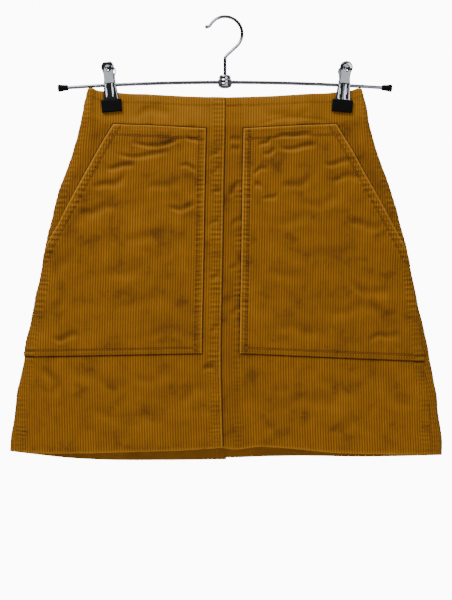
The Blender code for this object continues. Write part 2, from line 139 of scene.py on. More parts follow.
Fold = namedtuple("Fold", "side x top bottom width rise")
FOLDS = (
    Fold("front", 0.031, -0.440, -0.600, 0.020, -0.0045),
    Fold("front", -0.060, -0.470, -0.620, 0.050, 0.0030),
    Fold("front", 0.120, -0.450, -0.620, 0.055, 0.0025),
    Fold("front", -0.190, -0.300, -0.440, 0.022, -0.0030),
    Fold("front", 0.196, -0.330, -0.450, 0.020, -0.0025),
    Fold("back", 0.010, -0.400, -0.620, 0.022, -0.0045),
    Fold("back", -0.095, -0.330, -0.620, 0.050, 0.0030),
    Fold("back", 0.110, -0.360, -0.620, 0.050, 0.0030),
)

# ---- pockets ----
POCKET_INNER = 0.0235
POCKET_TOP = (-0.1400, -0.1335)  # height at the inner corner and at the mouth's top
POCKET_TOP_WIDTH = 0.1170
MOUTH_END = -0.3050
POCKET_BOTTOM = {1: (-0.4200, -0.4300), -1: (-0.4200, -0.4245)}  # at the inner edge and the side seam
POCKET_OUT = 0.0023  # from the front's face to the pocket's
MOUTH_LIFT = 0.0024

# ---- zip and hanger, as in the frame ----
ZIP_TOP = -0.1025
ZIP_BOTTOM = -0.2800
TAPE_WIDTH = 0.012
COIL_WIRE = 0.00028  # radius of the zip's coil
PULL_AXIS = Vector((0.0, 0.0132, -0.1080))
HOOK_RADIUS = 0.0215
WIRE = 0.0020
NECK_HEIGHT = -0.0490
HUB_TOP = -0.0717
HUB_BOTTOM = -0.0879
ROD = 0.0022
ROD_HEIGHT = -0.0806
ROD_HALF = 0.2020
ROD_DROOP = 0.0070
CLIP_TILT = math.radians(5)
CLIP_ABOVE_PAD = 0.0265
PAD = Vector((0.0254, 0.0036, 0.0155))
THUMB = 0.0081  # radius of a lever's round thumb end
THUMB_HEIGHT = 0.0197  # of its middle, above the clip's pivot
SPRING = 0.0036  # mean radius of a clip's coil spring
SPRING_LENGTH = 0.0080

# ---- creases: a trough from one end to the other, by x and z, with its half width and depth ----
Crease = namedtuple("Crease", "x0 z0 x1 z1 width depth")
CREASING = 1.3  # how much deeper they all are than their tables say
FRONT_CREASES = (
    # the pressed lines along the facing, over the pocket tops
    Crease(-0.140, -0.1325, -0.030, -0.1370, 0.0016, 0.0006),
    Crease(0.030, -0.1375, 0.138, -0.1305, 0.0016, 0.0006),
    # the wearer's left pocket
    Crease(0.040, -0.161, 0.058, -0.152, 0.0028, 0.0011),
    Crease(0.058, -0.152, 0.112, -0.148, 0.0030, 0.0013),
    Crease(0.046, -0.173, 0.064, -0.165, 0.0030, 0.0010),
    Crease(0.064, -0.165, 0.118, -0.158, 0.0034, 0.0012),
    Crease(0.034, -0.197, 0.054, -0.189, 0.0030, 0.0010),
    Crease(0.044, -0.227, 0.066, -0.223, 0.0028, 0.0009),
    Crease(0.036, -0.213, 0.046, -0.209, 0.0045, 0.0011),
    Crease(0.068, -0.213, 0.112, -0.199, 0.0060, 0.0013),
    Crease(0.090, -0.236, 0.146, -0.226, 0.0070, 0.0011),
    Crease(0.060, -0.262, 0.120, -0.252, 0.0080, 0.0012),
    Crease(0.120, -0.184, 0.160, -0.176, 0.0040, 0.0010),
    Crease(0.130, -0.206, 0.176, -0.199, 0.0050, 0.0010),
    Crease(0.150, -0.252, 0.200, -0.262, 0.0060, 0.0012),
    Crease(0.095, -0.300, 0.170, -0.284, 0.0090, 0.0014),
    Crease(0.046, -0.322, 0.110, -0.330, 0.0080, 0.0011),
    Crease(0.150, -0.330, 0.214, -0.345, 0.0070, 0.0014),
    Crease(0.130, -0.372, 0.196, -0.362, 0.0080, 0.0012),
    Crease(0.180, -0.350, 0.216, -0.392, 0.0080, 0.0013),
    Crease(0.060, -0.384, 0.120, -0.392, 0.0080, 0.0011),
    Crease(0.176, -0.404, 0.222, -0.398, 0.0050, 0.0010),
    # the wearer's right pocket
    Crease(-0.120, -0.158, -0.050, -0.151, 0.0030, 0.0012),
    Crease(-0.052, -0.151, -0.030, -0.157, 0.0030, 0.0009),
    Crease(-0.138, -0.172, -0.066, -0.166, 0.0036, 0.0011),
    Crease(-0.150, -0.190, -0.110, -0.182, 0.0040, 0.0011),
    Crease(-0.058, -0.186, -0.034, -0.192, 0.0032, 0.0010),
    Crease(-0.168, -0.212, -0.120, -0.198, 0.0052, 0.0013),
    Crease(-0.100, -0.216, -0.050, -0.208, 0.0060, 0.0011),
    Crease(-0.072, -0.240, -0.034, -0.234, 0.0040, 0.0010),
    Crease(-0.186, -0.246, -0.130, -0.232, 0.0064, 0.0014),
    Crease(-0.200, -0.290, -0.166, -0.240, 0.0100, 0.0018),
    Crease(-0.130, -0.276, -0.060, -0.262, 0.0080, 0.0012),
    Crease(-0.216, -0.330, -0.186, -0.288, 0.0090, 0.0018),
    Crease(-0.160, -0.322, -0.090, -0.306, 0.0090, 0.0012),
    Crease(-0.214, -0.372, -0.200, -0.330, 0.0080, 0.0014),
    Crease(-0.140, -0.366, -0.060, -0.352, 0.0090, 0.0012),
    Crease(-0.216, -0.402, -0.180, -0.392, 0.0050, 0.0011),
    Crease(-0.100, -0.398, -0.044, -0.390, 0.0070, 0.0010),
    # between the pockets
    Crease(0.004, -0.153, 0.022, -0.151, 0.0038, 0.0010),
    Crease(0.006, -0.166, 0.020, -0.163, 0.0040, 0.0010),
    Crease(-0.020, -0.176, -0.003, -0.168, 0.0030, 0.0009),
    Crease(-0.021, -0.196, -0.006, -0.189, 0.0028, 0.0008),
    Crease(0.004, -0.226, 0.020, -0.206, 0.0040, 0.0010),
    Crease(-0.020, -0.222, -0.004, -0.216, 0.0026, 0.0008),
    Crease(0.006, -0.262, 0.021, -0.250, 0.0040, 0.0009),
    Crease(-0.020, -0.262, -0.006, -0.254, 0.0030, 0.0008),
    Crease(0.004, -0.318, 0.020, -0.300, 0.0045, 0.0009),
    Crease(-0.020, -0.330, -0.005, -0.322, 0.0034, 0.0008),
    Crease(0.005, -0.372, 0.020, -0.360, 0.0040, 0.0008),
    Crease(-0.020, -0.392, -0.006, -0.386, 0.0034, 0.0008),
    # waist
    Crease(-0.120, -0.124, -0.060, -0.119, 0.0060, 0.0007),
    Crease(0.050, -0.120, 0.110, -0.117, 0.0060, 0.0007),
    # below the pockets
    Crease(-0.190, -0.446, -0.110, -0.470, 0.0090, 0.0014),
    Crease(-0.120, -0.452, -0.060, -0.440, 0.0080, 0.0011),
    Crease(-0.170, -0.490, -0.070, -0.500, 0.0090, 0.0012),
    Crease(-0.226, -0.436, -0.206, -0.474, 0.0070, 0.0014),
    Crease(-0.060, -0.480, -0.030, -0.452, 0.0080, 0.0010),
    Crease(0.060, -0.486, 0.150, -0.476, 0.0090, 0.0012),
    Crease(0.110, -0.452, 0.180, -0.462, 0.0090, 0.0012),
    Crease(0.200, -0.446, 0.226, -0.494, 0.0090, 0.0016),
    Crease(0.130, -0.520, 0.170, -0.506, 0.0080, 0.0010),
    Crease(0.052, -0.520, 0.060, -0.470, 0.0090, 0.0012),
    Crease(-0.130, -0.530, -0.110, -0.500, 0.0090, 0.0010),
    Crease(-0.030, -0.440, -0.012, -0.432, 0.0040, 0.0008),
)
BACK_CREASES = (
    Crease(-0.110, -0.136, -0.030, -0.140, 0.0060, 0.0010),
    Crease(0.024, -0.142, 0.108, -0.134, 0.0060, 0.0010),
    Crease(-0.150, -0.180, -0.070, -0.170, 0.0080, 0.0014),
    Crease(0.060, -0.176, 0.146, -0.188, 0.0080, 0.0014),
    Crease(-0.180, -0.236, -0.090, -0.222, 0.0090, 0.0015),
    Crease(0.020, -0.214, 0.090, -0.224, 0.0080, 0.0012),
    Crease(0.110, -0.246, 0.190, -0.232, 0.0090, 0.0015),
    Crease(-0.080, -0.262, -0.016, -0.254, 0.0080, 0.0012),
    Crease(0.040, -0.282, 0.120, -0.276, 0.0090, 0.0013),
    Crease(-0.200, -0.300, -0.110, -0.290, 0.0100, 0.0015),
    Crease(0.130, -0.318, 0.206, -0.302, 0.0090, 0.0014),
    Crease(-0.110, -0.340, -0.030, -0.332, 0.0090, 0.0013),
    Crease(0.020, -0.352, 0.100, -0.342, 0.0090, 0.0012),
    Crease(-0.210, -0.384, -0.140, -0.370, 0.0100, 0.0014),
    Crease(0.110, -0.392, 0.210, -0.380, 0.0100, 0.0015),
    Crease(-0.100, -0.420, -0.020, -0.410, 0.0090, 0.0012),
    Crease(0.030, -0.440, 0.110, -0.450, 0.0090, 0.0012),
    Crease(-0.200, -0.470, -0.110, -0.458, 0.0100, 0.0014),
    Crease(0.130, -0.500, 0.220, -0.486, 0.0100, 0.0014),
    Crease(-0.090, -0.520, -0.050, -0.480, 0.0090, 0.0012),
    Crease(0.060, -0.530, 0.090, -0.492, 0.0090, 0.0012),
)


# ---- the form in which the cloth hangs ----
def smooth(share):
    share = np.clip(share, 0.0, 1.0)
    return share * share * (3 - 2 * share)


def along(rows, column, values, key="height"):
    """A column of a table at values of its key, on a smooth curve through the rows."""
    rows = sorted(rows, key=lambda row: getattr(row, key))
    keys = np.array([getattr(row, key) for row in rows])
    known = np.array([getattr(row, column) for row in rows])
    slopes = np.gradient(known, keys)
    values = np.clip(values, keys[0], keys[-1])
    i = np.clip(np.searchsorted(keys, values) - 1, 0, len(keys) - 2)
    span = keys[i + 1] - keys[i]
    t = (values - keys[i]) / span
    return (
        known[i] * (1 + 2 * t) * (1 - t) ** 2
        + slopes[i] * span * t * (1 - t) ** 2
        + known[i + 1] * t * t * (3 - 2 * t)
        + slopes[i + 1] * span * t * t * (t - 1)
    )


def gripped(xs, height):
    """1 where a clip holds the front and back together, 0 away from it."""
    most = np.zeros_like(xs)
    for grip in GRIPS:
        fade = np.where((xs - grip.x) * grip.x > 0, grip.outer_fade, grip.inner_fade)
        across = 1 - smooth((np.abs(xs - grip.x) - grip.half_flat) / fade)
        down = 1 - smooth((grip.bottom - height) / grip.fade_down)
        most = np.maximum(most, across * down)
    return most


def waved(xs, height, side):
    total = np.zeros_like(xs)
    for fold in FOLDS:
        if fold.side == side:
            grown = smooth((fold.top - height) / 0.06)
            faded = 1 - smooth((fold.bottom - height) / 0.04)
            total += fold.rise * grown * faded * np.exp(-(((xs - fold.x) / fold.width) ** 2))
    return total


def half_ring(height, side):
    """The outer face round one side, from the front middle to the back middle: arc lengths, x and y."""
    half = float(along(SECTIONS, "half_width", height))
    depth = float(along(SECTIONS, "depth", height))
    cap = float(along(SECTIONS, "cap", height))
    lean = float(along(SECTIONS, "lean", height))
    flat = np.linspace(0, half - cap, 120)
    angles = np.linspace(0, math.pi, 220)
    xs = np.concatenate([flat[:-1], half - cap + cap * np.sin(angles), flat[-2::-1]])
    bulge = np.concatenate([np.ones(119), np.cos(angles), -np.ones(119)])
    waves = np.where(bulge > 0, waved(side * xs, height, "front"), waved(side * xs, height, "back"))
    deep = depth * (1 - CROWN * (xs / half) ** 2) + waves * np.abs(bulge)
    grip = gripped(side * xs, height)
    ys = -bulge * (deep * (1 - grip) + CLAMPED * grip)
    lengths = np.concatenate([[0.0], np.cumsum(np.hypot(np.diff(xs), np.diff(ys)))])
    return lengths, side * xs + lean, ys


HEIGHTS = np.linspace(-0.570, -0.082, 306)
ARC_STEP = 0.0005
ARCS = np.arange(-1200, 1201) * ARC_STEP


def ring_tables():
    """The form on a grid of heights and arc lengths, with where the side seams and the centre back lie."""
    xs, ys = [], []
    seams, backs = {1: [], -1: []}, {1: [], -1: []}
    for height in HEIGHTS:
        left, right = half_ring(height, 1), half_ring(height, -1)
        beyond = 0.01  # the ring runs on past the centre back, so that a direction can be read there
        lengths = [-right[0][-1] - beyond, *-right[0][::-1], *left[0][1:], left[0][-1] + beyond]
        ring_x = [left[1][-1] + beyond, *right[1][::-1], *left[1][1:], left[1][-1] - beyond]
        ring_y = [right[2][-1], *right[2][::-1], *left[2][1:], left[2][-1]]
        xs.append(np.interp(ARCS, lengths, ring_x))
        ys.append(np.interp(ARCS, lengths, ring_y))
        for side, ring, column in ((1, left, "left_inset"), (-1, right, "right_inset")):
            reach = side * ring[1]
            tip = int(np.argmax(reach))
            target = reach[tip] - max(float(along(SECTIONS, column, height)), 0.0)
            seams[side].append(np.interp(target, reach[: tip + 1], ring[0][: tip + 1]))
            backs[side].append(ring[0][-1])
    return np.array(xs), np.array(ys), seams, backs


RING_X, RING_Y, SEAM_AT, BACK_AT = ring_tables()


def hung(arcs, heights):
    """x and y of the outer face at signed arc lengths from the front middle, and heights."""
    column = np.clip((arcs - ARCS[0]) / ARC_STEP, 0, len(ARCS) - 1.001)
    row = np.clip((heights - HEIGHTS[0]) / (HEIGHTS[1] - HEIGHTS[0]), 0, len(HEIGHTS) - 1.001)
    i, j = row.astype(int), column.astype(int)
    down, across = row - i, column - j
    spots = []
    for table in (RING_X, RING_Y):
        lower = table[i, j] * (1 - across) + table[i, j + 1] * across
        upper = table[i + 1, j] * (1 - across) + table[i + 1, j + 1] * across
        spots.append(lower * (1 - down) + upper * down)
    return spots


def seam_arc(side, heights):
    return np.interp(heights, HEIGHTS, SEAM_AT[side])


def back_arc(side, heights):
    return np.interp(heights, HEIGHTS, BACK_AT[side])


def centre(heights):
    return along(SECTIONS, "centre_shift", heights)


def uneven(xs, zs, start):
    """The slight unevenness of washed cloth."""
    total = np.zeros_like(xs)
    for turn, length, rise in (
        (0.35, 0.034, 0.00018),
        (1.25, 0.027, 0.00020),
        (2.10, 0.045, 0.00026),
        (2.75, 0.021, 0.00012),
        (1.70, 0.063, 0.00034),
    ):
        total += rise * np.sin((xs * math.cos(turn) + zs * math.sin(turn)) * math.tau / length + start * turn)
    return total


def creased(xs, zs, creases):
    """How far the creases push the cloth out: bowed troughs with low ridges, which fade at their ends."""
    total = np.zeros_like(xs)
    for i, crease in enumerate(creases):
        run = np.array([crease.x1 - crease.x0, crease.z1 - crease.z0])
        length = math.hypot(*run)
        share = ((xs - crease.x0) * run[0] + (zs - crease.z0) * run[1]) / length**2
        aside = ((xs - crease.x0) * run[1] - (zs - crease.z0) * run[0]) / length
        beyond = (share - np.clip(share, 0, 1)) * length
        share = np.clip(share, 0, 1)
        bow = length * (0.05, -0.07, 0.10, -0.04, 0.08)[i % 5] * np.sin(share * math.pi)
        wavering = 0.25 * crease.width * np.sin(share * 9 + i)
        q = ((aside - bow - wavering) ** 2 + beyond**2) / (crease.width * (0.75 + 0.5 * share)) ** 2
        held = smooth(0.15 + 3.2 * np.minimum(share, 1 - share)) * min(1, 0.0042 / crease.width)
        total -= CREASING * crease.depth * held * (1 - 0.7 * q) * np.exp(-0.8 * q)
    return total


def crease_painted_shading(xs, zs, creases):
    """Painted shade and light from the creases: 1, painted shade, in troughs and on slopes that face down,
    -1, painted light, on those that face up.
    """
    slope = creased(xs, zs + 0.0022, creases) - creased(xs, zs - 0.0022, creases)
    return np.clip(slope / 0.0018 - creased(xs, zs, creases) / 0.0040, -1, 1)


def placed(arcs, heights, out):
    """Points on the form, moved out along its face."""
    step = 0.0012
    x0, y0 = hung(arcs - step, heights)
    x1, y1 = hung(arcs + step, heights)
    xs, ys = hung(arcs, heights)
    length = np.hypot(x1 - x0, y1 - y0)
    return np.stack([xs + (y1 - y0) / length * out, ys - (x1 - x0) / length * out, heights], axis=1)


# ---- each piece: where a point of its flat cut lies ----
Spots = namedtuple("Spots", "across heights to_top to_foot")
Relief = namedtuple("Relief", "form edge pressed worn hollow away")


def sewn(away):
    """A row of stitches pulls the cloth in."""
    return -0.0006 * np.exp(-((away / 0.0009) ** 2))


def rounded(away, radius=0.0011):
    """A folded edge turns in over its radius."""
    near = np.clip(1 - away / radius, 0, 1)
    return -radius * (1 - np.sqrt(1 - 0.9 * near**2))


def puckered(across, heights, low, high):
    """Short uneven ripples across a sewn strip, which lies between two distances."""
    held = smooth((across - low) / 0.002 + 1) * smooth((high - across) / 0.002 + 1)
    phase = heights * math.tau / 0.0062 + 1.8 * np.sin(heights * 97.0) + 40 * across
    strength = 0.55 + 0.45 * np.sin(heights * 61.0 + 3.0 * np.sin(heights * 23.0))
    return 0.00034 * held * strength * np.sin(phase)


def within(distances, low, high):
    """Holds points inside the seams, and moves those almost at a seam onto it."""
    snap = COLUMN * 0.3
    inside = np.clip(distances, low, high)
    inside = np.where(high - inside < snap, high, inside)
    return np.where(inside - low < snap, low, inside)


class Front:
    """A front half, measured across from the centre front."""

    facing = 1

    def __init__(self, side):
        self.side = side
        self.low = -LAP_UNDER if side > 0 else 0.0
        self.start, self.stop = self.low, 0.300
        self.rows = rows_down(0.448, ((0.040, 0.0022), (0.318, 0.0033), (0.448, 0.0024)), (0.011,), (HEM,))

    def width(self, heights):
        return np.abs(seam_arc(self.side, heights)) - self.side * centre(heights) - SIDE_GAP / 2

    def edges(self, across):
        top, foot = self.width(np.array([-0.088, -0.546]))
        across = np.maximum(across, 0)
        return (
            along(WAIST, "height", across / top, "share"),
            along(FRONT_HEM[self.side], "height", across / foot, "share"),
        )

    def pocket_width(self, heights):
        """Distance from the centre front to the slanted mouth of the pocket, or to the side seam below it."""
        fallen = np.maximum((heights - POCKET_TOP[1]) / (MOUTH_END - POCKET_TOP[1]), 0)
        mouth_top = POCKET_INNER + POCKET_TOP_WIDTH
        mouth_foot = self.width(np.array([MOUTH_END]))[0]
        return np.minimum(self.width(heights), mouth_top + (mouth_foot - mouth_top) * fallen)

    def pocket_edges(self, across):
        """Heights of the pocket's top and foot."""
        foot = self.width(np.array([POCKET_BOTTOM[self.side][1]]))[0]
        ends = []
        for (inner, outer), wide in (
            (POCKET_TOP, POCKET_TOP_WIDTH),
            (POCKET_BOTTOM[self.side], foot - POCKET_INNER),
        ):
            ends.append(inner + (outer - inner) * np.clip((across - POCKET_INNER) / wide, 0, 1))
        return ends

    def beside_pocket(self, spots):
        """Distance outside the pocket's edges: negative below the pocket, and large where none is near."""
        upper, lower = self.pocket_edges(spots.across)
        out_of_mouth = spots.across - self.pocket_width(np.minimum(spots.heights, POCKET_TOP[1]))
        out_of_mouth = np.where(spots.heights > MOUTH_END, out_of_mouth, -1.0)
        sides = (POCKET_INNER - spots.across, out_of_mouth, spots.heights - upper, lower - spots.heights)
        return np.maximum.reduce(sides)

    def settle(self, distances, shares):
        heights = -0.1 - 0.44 * shares
        for _ in range(4):
            across = within(distances, self.low, self.width(heights))
            upper, lower = self.edges(across)
            heights = upper + (lower - upper) * shares
        return Spots(across, heights, upper - heights, heights - lower)

    def wale_at(self, spots):
        return spots.across - self.start

    def arcs(self, spots):
        return centre(spots.heights) + self.side * spots.across

    def relief(self, spots):
        xs, _ = hung(self.arcs(spots), spots.heights)
        to_seam = self.width(spots.heights) - spots.across
        double = smooth((ALLOWANCE[self.side] - to_seam) / 0.003)
        form = creased(xs, spots.heights, FRONT_CREASES) + uneven(xs, spots.heights, 1.0)
        form += 0.0005 * double + 0.0003 * smooth((HEM - spots.to_foot) / 0.003)
        form += sewn(spots.to_top - WAIST_ROW) + 0.6 * sewn(spots.to_foot - HEM)
        edge = rounded(to_seam) + rounded(spots.to_top) + rounded(spots.to_foot)
        pressed, worn = 0.8 * double, 0.5 * np.exp(-((spots.to_top / 0.0016) ** 2))
        worn = np.maximum(worn, 0.6 * np.exp(-((spots.to_foot / 0.0016) ** 2)))
        if self.side < 0:
            form += (WALL + SEAM_GAP) * smooth((LAP_WIDTH + LAP_RAMP - spots.across) / LAP_RAMP)
            form += sewn(spots.across - 0.0028) + sewn(spots.across - 0.0134)
            edge += rounded(spots.across, 0.0014)
            pressed = np.maximum(pressed, smooth((LAP_WIDTH - spots.across) / 0.002))
            worn = np.maximum(worn, np.exp(-((spots.across / 0.0014) ** 2)))
        # the distance to the pocket's edges, the waist's stitch row and, on the wearer's left, the lap's
        # edge: the shader paints a shadow line along these
        away = self.beside_pocket(spots)
        # a painted shade just outside the pocket's slanted mouth
        by_mouth = (spots.across > 0.09) & (spots.heights < POCKET_TOP[1]) & (spots.heights > MOUTH_END)
        shaded = 0.5 * np.exp(-(((away - 0.008) / 0.010) ** 2)) * by_mouth * smooth(to_seam / 0.02)
        ripples = puckered(spots.across, spots.heights, *((0.016, 0.0235) if self.side > 0 else (0.0, 0.015)))
        if self.side > 0:
            away = np.minimum(away, np.abs(spots.across))
        ripples += 1.2 * puckered(to_seam, spots.heights, 0.0, ALLOWANCE[self.side])
        form += ripples
        away = np.minimum(away, np.abs(spots.to_top - WAIST_ROW) + 0.0007)
        # painted shade in the crease troughs, on the ripples' sunken parts, outside the pocket's mouth and,
        # on the wearer's left, between the centre front and the pocket; painted light on up-facing slopes,
        # raised ripples and the top 40 mm
        hollow = crease_painted_shading(xs, spots.heights, FRONT_CREASES) - 0.45 * smooth((0.040 - spots.to_top) / 0.006)
        hollow += shaded - ripples / 0.0005
        if self.side > 0:
            hollow += 0.22 * smooth((POCKET_INNER - spots.across) / 0.003)
        return Relief(form * (1 - gripped(xs, spots.heights)), edge, pressed, worn, hollow, away)


class Back:
    """A back half, measured across from the centre back."""

    facing = -1
    start, stop, low = -0.0704, 0.2592, 0.0

    def __init__(self, side):
        self.side = side
        self.rows = rows_down(0.458, ((0.458, 0.0032),), (0.011,), (HEM,))

    def width(self, heights):
        return back_arc(self.side, heights) - np.abs(seam_arc(self.side, heights)) - SIDE_GAP / 2

    def edges(self, across):
        top, foot = self.width(np.array([-0.088, -0.546]))
        return (
            along(WAIST, "height", across / top, "share"),
            along(BACK_HEM[self.side], "height", across / foot, "share"),
        )

    def settle(self, distances, shares):
        heights = -0.1 - 0.45 * shares
        for _ in range(6):
            leaning = distances + BACK_LEAN * (-0.1 - heights)
            across = within(leaning, self.low, self.width(heights))
            upper, lower = self.edges(across)
            heights = upper + (lower - upper) * shares
        return Spots(across, heights, upper - heights, heights - lower)

    def wale_at(self, spots):
        return spots.across - BACK_LEAN * (-0.1 - spots.heights) - self.start

    def arcs(self, spots):
        return self.side * (back_arc(self.side, spots.heights) - spots.across)

    def relief(self, spots):
        xs, _ = hung(self.arcs(spots), spots.heights)
        to_seam = self.width(spots.heights) - spots.across
        double = np.maximum(smooth((0.013 - spots.across) / 0.003), smooth((0.013 - to_seam) / 0.003))
        form = creased(xs, spots.heights, BACK_CREASES) + uneven(xs, spots.heights, 4.0)
        form += 0.0005 * double + 0.0003 * smooth((HEM - spots.to_foot) / 0.003)
        form += sewn(spots.to_top - WAIST_ROW) + 0.6 * sewn(spots.to_foot - HEM)
        edge = rounded(spots.across) + rounded(to_seam) + rounded(spots.to_top) + rounded(spots.to_foot)
        worn = 0.5 * np.exp(-((np.minimum(spots.to_top, spots.to_foot) / 0.0016) ** 2))
        # the distance to the waist's stitch row and the centre back's edge, along which the shader paints a
        # shadow line
        away = np.minimum(np.abs(spots.to_top - WAIST_ROW) + 0.0007, spots.across + 0.0008)
        # painted shade and light from the back's creases
        hollow = crease_painted_shading(xs, spots.heights, BACK_CREASES)
        return Relief(form * (1 - gripped(xs, spots.heights)), edge, 0.8 * double, worn, hollow, away)


class Pocket:
    """A patch pocket, measured across from the centre front."""

    facing = 1

    def __init__(self, side):
        self.side = side
        self.front = Front(side)
        self.start = self.low = POCKET_INNER
        self.stop = 0.262
        self.rows = rows_down(0.286, ((0.286, 0.0022),), (0.006, 0.0135), (0.0015, 0.007))

    def width(self, heights):
        return self.front.pocket_width(heights)

    def edges(self, across):
        return self.front.pocket_edges(across)

    def settle(self, distances, shares):
        heights = POCKET_TOP[0] - 0.28 * shares
        for _ in range(4):
            across = within(distances, self.low, self.width(heights))
            upper, lower = self.edges(across)
            heights = upper + (lower - upper) * shares
        return Spots(across, heights, upper - heights, heights - lower)

    def wale_at(self, spots):
        return spots.across - self.front.start

    def arcs(self, spots):
        return self.front.arcs(spots)

    def to_mouth(self, spots):
        """Distance square to the slanted mouth, and large below its end."""
        away = (self.width(spots.heights) - spots.across) * 0.90
        return away + np.maximum(MOUTH_END - spots.heights, 0)

    def relief(self, spots):
        xs, _ = hung(self.arcs(spots), spots.heights)
        inner, mouth = spots.across - POCKET_INNER, self.to_mouth(spots)
        to_seam = self.front.width(spots.heights) - spots.across
        double = smooth((ALLOWANCE[self.side] - to_seam) / 0.003)
        fallen = np.clip((spots.heights - POCKET_TOP[1]) / (MOUTH_END - POCKET_TOP[1]), 0, 1)
        open_by = smooth(1 - mouth / 0.045) * smooth((1 - fallen) * 7) * smooth(fallen * 6 + 0.3)
        form = creased(xs, spots.heights, FRONT_CREASES) + uneven(xs, spots.heights, 1.0)
        form += POCKET_OUT + MOUTH_LIFT * open_by + 0.0005 * double
        ripples = puckered(inner, spots.heights, 0.0, 0.0095) + puckered(mouth, spots.heights, 0.0, 0.0110)
        ripples += 1.2 * puckered(to_seam, spots.heights, 0.0, ALLOWANCE[self.side])
        form += ripples
        for away in (
            inner - 0.0020,
            inner - 0.0082,
            mouth - 0.0024,
            mouth - 0.0092,
            spots.to_top - 0.0060,
            spots.to_top - 0.0135,
            spots.to_foot - 0.0015,
            spots.to_foot - 0.0070,
        ):
            form += sewn(away)
        edge = rounded(inner, 0.0014) + rounded(mouth, 0.0014)
        edge += rounded(spots.to_top, 0.0014) + rounded(spots.to_foot) + rounded(to_seam)
        pressed = np.maximum(smooth((0.0095 - inner) / 0.002), smooth((0.0112 - mouth) / 0.002))
        pressed = np.maximum(pressed, 0.8 * double)
        worn = np.exp(-((np.minimum(inner, mouth) / 0.0015) ** 2))
        worn = np.maximum(worn, 0.8 * np.exp(-((spots.to_top / 0.0014) ** 2)))
        # the distance to the pocket's inner stitch rows, along which the shader paints a shadow line
        rows = (inner - 0.0082, mouth - 0.0092, spots.to_top - 0.0135, spots.to_foot - 0.0070)
        away = np.minimum.reduce([np.abs(row) for row in rows]) + 0.0008
        # painted shade and light from the creases and ripples, with a slight painted shade over the whole
        # pocket
        hollow = crease_painted_shading(xs, spots.heights, FRONT_CREASES) + 0.08 - ripples / 0.0005
        return Relief(form, edge, pressed, worn, hollow, away)


class Tape:
    """Half of the zip's tape, inside the back, measured across from the centre back."""

    facing = -1
    start, stop, low = 0.0, TAPE_WIDTH + 0.0008, 0.0

    def __init__(self, side):
        self.side = side
        self.rows = np.linspace(0, 1, 72)

    def settle(self, distances, shares):
        across = np.minimum(distances, TAPE_WIDTH)
        heights = ZIP_TOP + (ZIP_BOTTOM - ZIP_TOP) * shares
        return Spots(across, heights, ZIP_TOP - heights, heights - ZIP_BOTTOM)

    def wale_at(self, spots):
        return spots.across

    def arcs(self, spots):
        return self.side * (back_arc(self.side, spots.heights) - SEAM_GAP / 2 - spots.across)

    def relief(self, spots):
        none = np.zeros_like(spots.across)
        return Relief(none - WALL - SEAM_GAP, none, none, none, none, none + 1)


def rows_down(length, bands, top_lines, foot_lines):
    """Shares of a piece's length: even rows by bands, closer at the edges and along the stitch lines."""
    lines = [*top_lines, *(length - line for line in foot_lines)]
    close = [0, 0.0007, 0.0018, length - 0.0018, length - 0.0007, length]
    close += [line + beside for line in lines for beside in (-0.0010, 0, 0.0010)]
    spots, spot = list(close), 0.0
    for stop, step in bands:
        while spot < stop:
            if min(abs(spot - other) for other in close) > 0.4 * step:
                spots.append(spot)
            spot += step
    return np.unique(np.array(spots)) / length


# ---- from meshes to pieces ----
def piece(name, mesh, material, nodes=(), body="garment", sharp=40):
    """Adds a finished mesh to the scene as a part of the object."""
    mesh.name = name
    mesh.materials.clear()
    mesh.materials.append(material)
    mesh.shade_smooth()
    mesh.set_sharp_from_angle(angle=math.radians(sharp))
    obj = bpy.data.objects.new(name, mesh)
    bpy.context.scene.collection.objects.link(obj)
    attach(obj, body)
    if nodes:
        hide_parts(*nodes)
    return obj


def mesh_from(bm, place=None):
    if place is not None:
        bmesh.ops.transform(bm, matrix=place, verts=bm.verts)
    mesh = bpy.data.meshes.new("shape")
    bm.to_mesh(mesh)
    bm.free()
    return mesh


